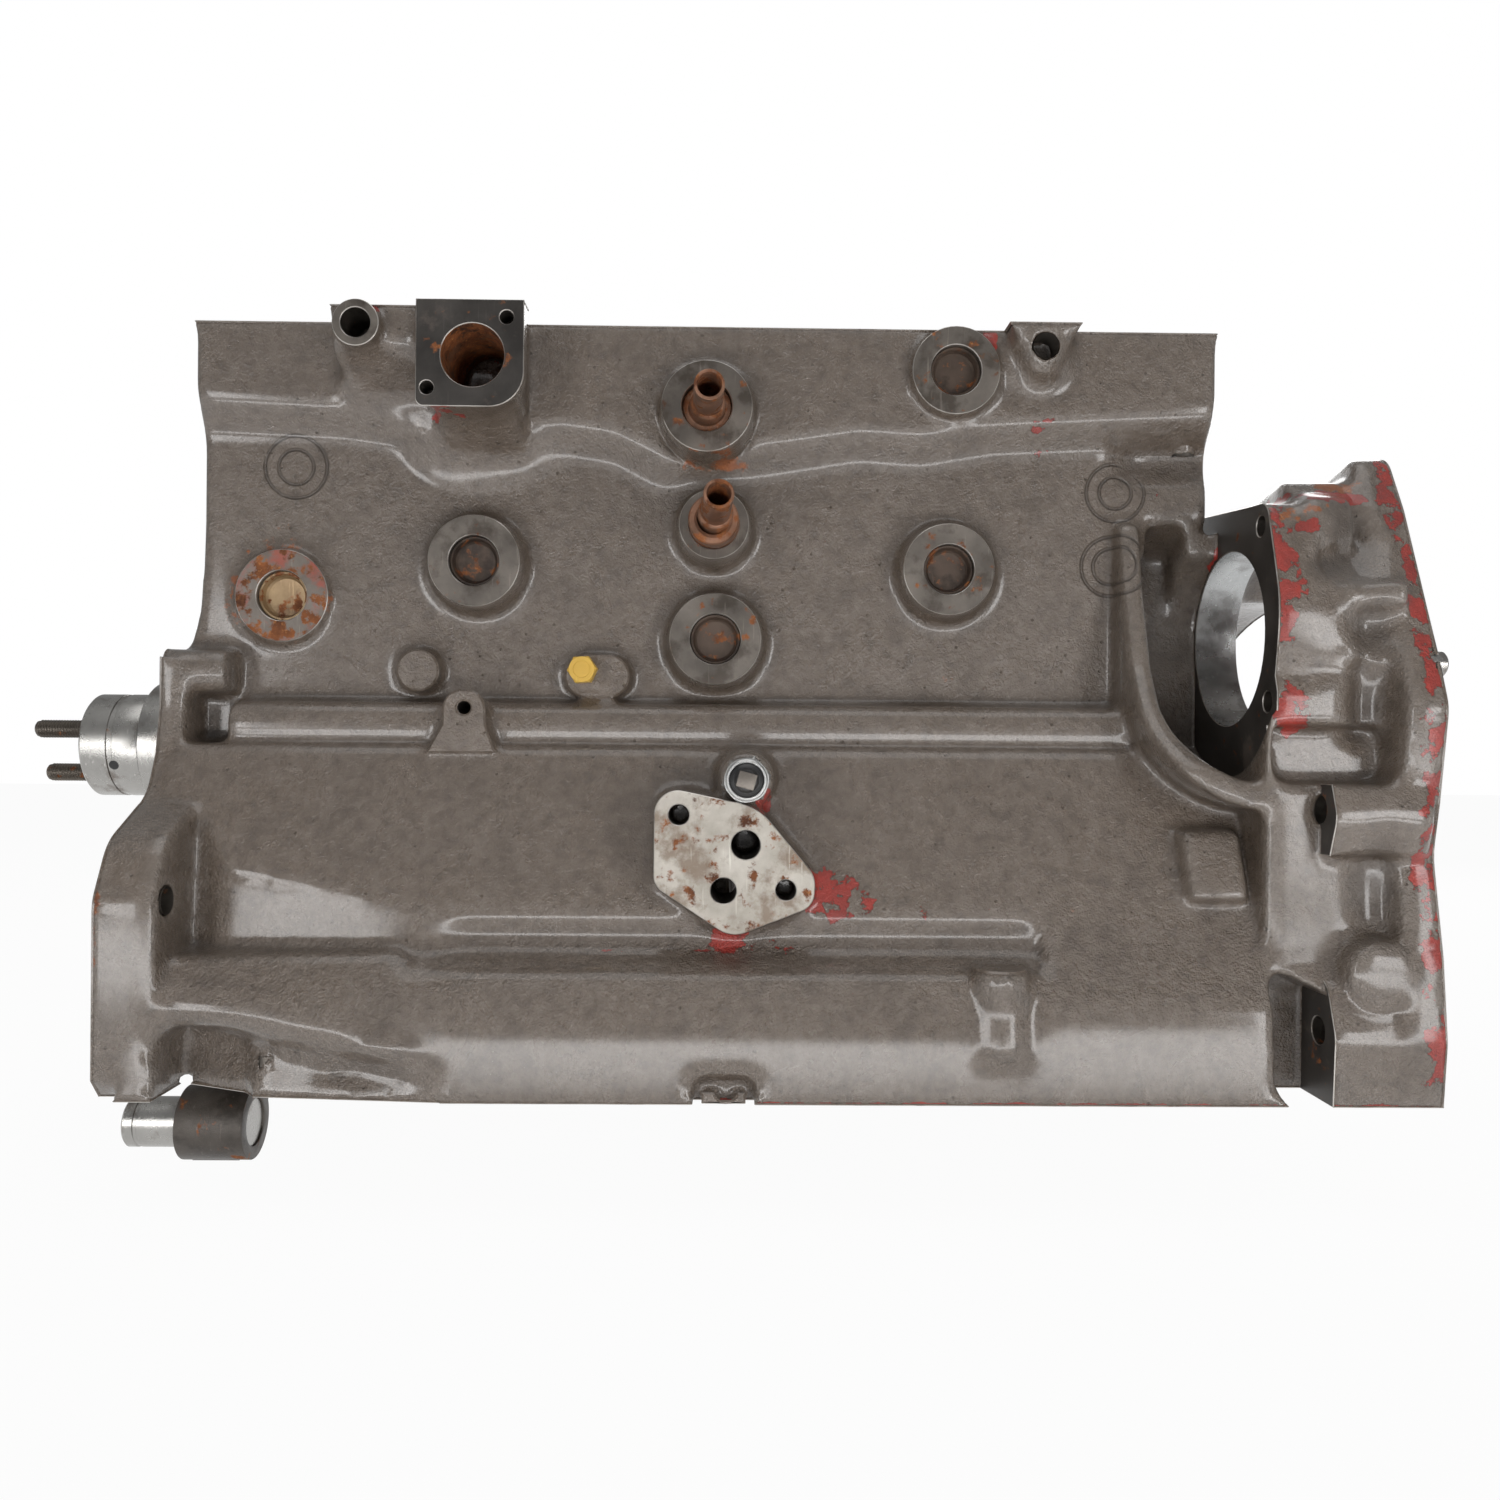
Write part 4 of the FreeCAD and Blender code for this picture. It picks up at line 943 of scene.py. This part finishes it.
class BLOCK_OT_machined(bpy.types.Operator):
    """Build the machined planes and bores of the casting"""
    bl_idname = "engine_block.machined"
    bl_label = "Machined faces"

    def execute(self, context):
        piece = link_piece("machined_faces", machined_faces(context.scene.casting_looks))
        finish_piece(piece, nodes=("block_casting",))
        return {"FINISHED"}


class BLOCK_OT_skin(bpy.types.Operator):
    """Build the painted cast skin"""
    bl_idname = "engine_block.skin"
    bl_label = "Cast skin"

    def execute(self, context):
        finish_piece(cast_skin(context.scene.casting_looks), nodes=("block_casting",))
        return {"FINISHED"}


def bevelled_copy(name, nodes, width=0.0008):
    """Copies of CAD nodes as one piece, flats joined up and edges bevelled."""
    work = bmesh.new()
    for node in nodes:
        part = merged_copy(node)
        work.from_mesh(part)
        bpy.data.meshes.remove(part)
    bmesh.ops.dissolve_limit(work, angle_limit=math.radians(1.0), verts=work.verts, edges=work.edges)
    mesh = bpy.data.meshes.new(name)
    work.to_mesh(mesh)
    work.free()
    piece = link_piece(name, mesh)
    bevel = piece.modifiers.new("bevel", "BEVEL")
    bevel.width = width
    bevel.segments = 2
    bevel.limit_method = "ANGLE"
    bevel.angle_limit = math.radians(40)
    evaluated(piece)
    shaded(piece.data, 40.0)
    return piece


class BLOCK_OT_caps(bpy.types.Operator):
    """Build the five main bearing caps"""
    bl_idname = "engine_block.caps"
    bl_label = "Main bearing caps"

    def execute(self, context):
        nodes = [f"main_bearing_cap_{i}" for i in range(1, 6)]
        finish_piece(bevelled_copy("main_caps", nodes), ("bare_casting",), nodes)
        return {"FINISHED"}


class BLOCK_OT_cap_bolts(bpy.types.Operator):
    """Build the ten cap bolt heads"""
    bl_idname = "engine_block.cap_bolts"
    bl_label = "Cap bolts"

    def execute(self, context):
        profile = [(0.01, 0.0), (12.0, 0.0), (12.0, 0.8), (10.4, 1.0), (10.9, 1.3), (10.9, 8.2),
                   (9.3, 9.0), (5.5, 9.0), (5.0, 8.6), (0.01, 8.6)]
        grids = [hexagon((x, y, CAP_UNDERSIDE_Z), DOWN, 19.0, profile)
                 for x in MAIN_X for y in (-CAP_BOLT_Y, CAP_BOLT_Y)]
        make_piece("cap_bolt_heads", grids, "bolts", "dark_steel", "main_cap_bolts")
        return {"FINISHED"}


class BLOCK_OT_plugs(bpy.types.Operator):
    """Build the cup plugs of the water jacket and the camshaft tunnel"""
    bl_idname = "engine_block.plugs"
    bl_label = "Cup plugs"

    def execute(self, context):
        cup = [(12.95, -12.0), (12.95, -3.8), (12.5, -3.2), (11.6, -3.2), (11.2, -3.8), (10.6, -7.4),
               (9.6, -8.4), (6.0, -8.7), (0.01, -8.7)]
        for name, finish, items in (("cup_plug_front", "brassy_cup", PLUGS[:1]),
                                    ("cup_plugs_side", "rusty_cup", PLUGS[1:])):
            grids = [lathe((x, y, z), NEAR, cup) for x, z, y, _ in items]
            make_piece(name, grids, "plugs", finish, "core_plugs")
        rear = [(28.9, -8.0), (28.9, -0.6), (28.0, 0.0), (26.4, 0.0), (25.6, -0.8), (24.4, -6.4),
                (22.8, -7.4), (0.01, -7.6)]
        make_piece("camshaft_cup", [lathe(CAM_CUP, REAR, rear)], "plugs", "rusty_cup", "camshaft_plug")
        return {"FINISHED"}


class BLOCK_OT_pipes(bpy.types.Operator):
    """Build the two coolant pipe stubs with their collars"""
    bl_idname = "engine_block.pipes"
    bl_label = "Coolant pipes"

    def execute(self, context):
        stubs = (("upper", (-1.5, -95.5, 293.0), (0.5, -141.0, 292.5), -99.0),
                 ("lower", (2.4, -100.5, 235.0), (5.4, -140.0, 241.4), -109.0))
        for word, seat, tip, collar_y in stubs:
            seat, tip = np.array(seat), np.array(tip)
            length = np.linalg.norm(tip - seat)
            tube = [(8.8, 0.0), (8.8, 14.0), (8.5, 14.8), (7.4, 15.6), (7.3, length - 3.5),
                    (7.4, length - 1.2), (7.35, length - 0.3), (7.0, length), (6.0, length),
                    (5.7, length - 0.5), (5.7, 6.0), (0.01, 6.0)]
            depth = PIPE_SEAT_Y - collar_y
            collar = [(12.6, -depth), (12.6, -0.9), (11.9, 0.0), (9.6, 0.2), (8.8, 1.4), (8.3, 3.0)]
            grids = [lathe(seat, tip - seat, tube), lathe((seat[0], collar_y, seat[2]), NEAR, collar)]
            make_piece(f"coolant_stub_{word}", grids, "pipes", "pipe_metal", f"coolant_pipe_{word}")
        return {"FINISHED"}


class BLOCK_OT_fittings(bpy.types.Operator):
    """Build the drain plug and the pressure switch"""
    bl_idname = "engine_block.fittings"
    bl_label = "Drain plug and switch"

    def execute(self, context):
        head = [(0.01, 0.0), (8.2, 0.0), (8.2, 0.7), (7.0, 0.9), (7.6, 1.3), (7.6, 8.2), (6.4, 9.0),
                (4.4, 9.0), (4.1, 8.7), (0.01, 8.7)]
        make_piece("drain_hexagon", [hexagon(DRAIN_PLUG, NEAR, 13.0, head, math.radians(4))],
                   "yellow_plug", "yellow_paint", "drain_plug")
        hexa = [(0.01, 0.0), (12.2, 0.0), (12.2, 12.6), (10.4, 14.0), (9.8, 14.0)]
        rim = [(9.8, 14.0), (9.8, 16.4), (9.2, 17.0), (8.3, 17.0), (7.9, 16.4), (7.6, 15.0)]
        make_piece("switch_shell", [hexagon(SWITCH, NEAR, 20.5, hexa, 0.2), lathe(SWITCH, NEAR, rim)],
                   "zinc", "zinc_plate", "switch_body")
        cap = [(7.9, 14.6), (7.9, 16.6), (7.4, 17.4), (5.8, 18.2), (5.4, 19.6), (4.6, 20.6), (0.01, 21.0)]
        make_piece("switch_cap", [lathe(SWITCH, NEAR, cap)], "black_plastic", "black_insulator_and_hole_shade",
                   "switch_insulator")
        blade = bevelled_copy("switch_blade", ["switch_terminal"], 0.0002)
        finish_piece(blade, ("ring_face",), ("switch_terminal",))
        return {"FINISHED"}


class BLOCK_OT_hub(bpy.types.Operator):
    """Build the idler hub with its two studs"""
    bl_idname = "engine_block.hub"
    bl_label = "Idler hub and studs"

    def execute(self, context):
        x, y, z = HUB
        turned = [(0.01, -1.5), (34.5, -1.5), (34.5, 27.3), (33.8, 28.0), (29.0, 28.0), (28.2, 28.6),
                  (27.6, 29.4), (28.0, 30.4), (28.0, 44.0), (27.5, 44.5), (27.5, 47.0), (28.0, 47.5),
                  (28.0, 60.8), (26.8, 62.0), (0.01, 62.0)]
        make_piece("idler_hub_turned", [lathe(HUB, FRONT, turned, 72)], "machined_steel", "turned_steel",
                   "idler_hub")
        way = (0.0, -0.92, -0.39)
        # Painted shade: a thin black disc on the hub stands for the dark mouth of the oil hole.
        mouth = [(2.6, -0.4), (2.6, 0.03), (2.3, 0.06), (2.1, 0.03), (0.01, 0.03)]
        place = (x - 43.6, y + way[1] * 28.0, z + way[2] * 28.0)
        make_piece("oil_hole_shade_disc", [lathe(place, way, mouth, 24)], "machined_steel", "black_insulator_and_hole_shade",
                   "idler_hub")
        shank = [(4.9, 20.0), (4.9, 66.0)]
        tip = [(4.3, 93.5), (4.3, 94.2), (3.4, 95.0), (0.01, 95.0)]
        for word, (y, z) in STUDS.items():
            foot = (x, y, z)
            grids = [lathe(foot, FRONT, shank, 36), thread(foot, FRONT, 4.3, 0.65, 1.5, 66.0, 94.0),
                     lathe(foot, FRONT, tip, 36)]
            make_piece(f"stud_{word}", grids, "bolts", "dark_steel", f"hub_stud_{word}")
        return {"FINISHED"}


class BLOCK_OT_shafts(bpy.types.Operator):
    """Build the pump idler shaft and the rear dowels"""
    bl_idname = "engine_block.shafts"
    bl_label = "Pump shaft and dowels"

    def execute(self, context):
        shaft = [(0.01, 0.0), (11.7, 0.0), (12.5, 0.8), (12.5, 54.0), (11.9, 54.4), (11.9, 56.0),
                 (12.5, 56.4), (12.5, 61.0), (11.5, 62.0), (3.0, 62.0), (1.8, 60.4), (0.01, 60.0)]
        make_piece("pump_idler_shaft", [lathe(PUMP_SHAFT, FRONT, shaft)], "machined_steel", "turned_steel",
                   "pump_shaft")
        pin = [(0.01, 0.0), (6.0, 0.0), (6.0, 16.0), (5.0, 17.0), (0.01, 17.0)]
        x, y, z = DOWEL
        make_piece("dowel_pins", [lathe((x, side, z), REAR, pin, 36) for side in (-y, y)],
                   "machined_steel", "turned_steel", "rear_dowels")
        return {"FINISHED"}


# ---------------------------------------------------------------- stage

# Soft lamps: place and target in metres, size, and power in watts
LAMPS = {
    "key_low": ((0.02, -0.66, -0.075), (0.0, -0.07, 0.22), (1.25, 0.10), 3.0),
    "key_right": ((0.85, -1.15, 0.15), (0.05, 0.0, 0.12), (0.3, 0.4), 3.0),
    "key_left": ((-0.80, -1.2, 0.15), (-0.05, 0.0, 0.12), (0.25, 0.4), 2.4),
    "top": ((0.0, -0.4, 1.7), (0.0, 0.0, 0.1), (1.6, 1.2), 8.5),
    "back": ((0.6, 1.6, 0.9), (0.0, 0.0, 0.1), (1.4, 1.0), 16.0),
}
WORLD_FILL = 0.10
WORLD_IN_GLOSS = 0.3
FLOOR_HALF = 6.0
FLOOR_GREY = 0.8
FLOOR_WHITE = 0.96


def area_lamp(name, place, target, size, power):
    """Soft rectangular lamp that faces the target."""
    lamp = bpy.data.lights.new(name, "AREA")
    lamp.shape = "RECTANGLE"
    lamp.size, lamp.size_y = size
    lamp.energy = power
    holder = bpy.data.objects.new(name, lamp)
    bpy.context.scene.collection.objects.link(holder)
    holder.location = place
    holder.rotation_euler = (Vector(target) - Vector(place)).to_track_quat("-Z", "Y").to_euler()


def pale_surface(name, grey):
    """Plain pale surface that shows white to the camera and in reflections."""
    material = bpy.data.materials.new(name)
    material.use_nodes = True
    n = Nodes(material.node_tree)
    shader = material.node_tree.nodes["Principled BSDF"]
    shader.inputs["Base Color"].default_value = (grey, grey, grey, 1.0)
    shader.inputs["Roughness"].default_value = 0.9
    path = n.add("ShaderNodeLightPath").outputs
    seen = n.math("MAXIMUM", path["Is Camera Ray"], path["Is Transmission Ray"])
    seen = n.math("MAXIMUM", seen, path["Is Glossy Ray"])
    white = n.add("ShaderNodeEmission", {"Color": (1.0, 1.0, 1.0, 1.0), "Strength": 1.0})
    both = n.add("ShaderNodeMixShader")
    n.put(both.inputs[0], n.math("MULTIPLY", seen, FLOOR_WHITE))
    n.put(both.inputs[1], shader.outputs[0])
    n.put(both.inputs[2], white.outputs[0])
    n.put(material.node_tree.nodes["Material Output"].inputs["Surface"], both.outputs[0])
    return material


class BLOCK_OT_stage(bpy.types.Operator):
    """Set up the floor, camera, lamps and world"""
    bl_idname = "engine_block.stage"
    bl_label = "Stage"

    def execute(self, context):
        scene = context.scene
        looks = scene.stage_looks
        floor_z = CAD_BOX[0][2] - 0.0005
        mesh = bpy.data.meshes.new("floor")
        signs = ((-1, -1), (1, -1), (1, 1), (-1, 1))
        corners = [(x * FLOOR_HALF, y * FLOOR_HALF, floor_z) for x, y in signs]
        mesh.from_pydata(corners, [], [(0, 1, 2, 3)])
        mesh.materials.append(pale_surface("pale_floor", FLOOR_GREY))
        link_piece("floor", mesh)
        camera = bpy.data.cameras.new("camera")
        camera.sensor_width = 36.0
        camera.lens = looks.lens
        camera.clip_start, camera.clip_end = 0.01, 50.0
        holder = bpy.data.objects.new("camera", camera)
        scene.collection.objects.link(holder)
        holder.location = looks.eye
        holder.rotation_euler = (math.pi / 2, looks.roll, looks.yaw)
        scene.camera = holder
        for name, (place, target, size, watts) in LAMPS.items():
            area_lamp(name, place, target, size, watts * looks.light)
        world = bpy.data.worlds.new("studio")
        scene.world = world
        world.use_nodes = True
        n = Nodes(world.node_tree)
        path = n.add("ShaderNodeLightPath").outputs
        seen = n.math("MAXIMUM", path["Is Camera Ray"], path["Is Transmission Ray"])
        glossy = n.math("MULTIPLY", path["Is Glossy Ray"], WORLD_IN_GLOSS)
        background = world.node_tree.nodes["Background"].inputs
        background["Color"].default_value = (1.0, 1.0, 1.0, 1.0)
        n.put(background["Strength"], n.math("MAXIMUM", n.math("MAXIMUM", seen, glossy), WORLD_FILL))
        scene.view_settings.view_transform = "Standard"
        return {"FINISHED"}


STEPS = (BLOCK_OT_materials, BLOCK_OT_machined, BLOCK_OT_skin, BLOCK_OT_caps, BLOCK_OT_cap_bolts,
         BLOCK_OT_plugs, BLOCK_OT_pipes, BLOCK_OT_fittings, BLOCK_OT_hub, BLOCK_OT_shafts, BLOCK_OT_stage)


class BLOCK_PT_panel(bpy.types.Panel):
    """Sizes, colours and steps of the engine block"""
    bl_idname = "BLOCK_PT_panel"
    bl_label = "Engine block"
    bl_space_type = "VIEW_3D"
    bl_region_type = "UI"
    bl_category = "Engine block"

    def draw(self, context):
        for name in LOOKS:
            looks = getattr(context.scene, name)
            for key in looks.bl_rna.properties.keys():
                if key not in ("rna_type", "name"):
                    self.layout.prop(looks, key)
        for step in STEPS:
            self.layout.operator(step.bl_idname)


LOOKS = {"casting_looks": CastingLooks, "fitting_looks": FittingLooks, "stage_looks": StageLooks}


def register():
    """Adds the classes and the settings to Blender."""
    for item in (*LOOKS.values(), *STEPS, BLOCK_PT_panel):
        bpy.utils.register_class(item)
    for name, item in LOOKS.items():
        setattr(bpy.types.Scene, name, PointerProperty(type=item))


def unregister():
    """Takes them away again."""
    for name in LOOKS:
        delattr(bpy.types.Scene, name)
    for item in reversed((*LOOKS.values(), *STEPS, BLOCK_PT_panel)):
        bpy.utils.unregister_class(item)


def main():
    """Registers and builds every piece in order."""
    register()
    for step in STEPS:
        group, name = step.bl_idname.split(".")
        getattr(getattr(bpy.ops, group), name)()


if __name__ == "__main__":
    main()
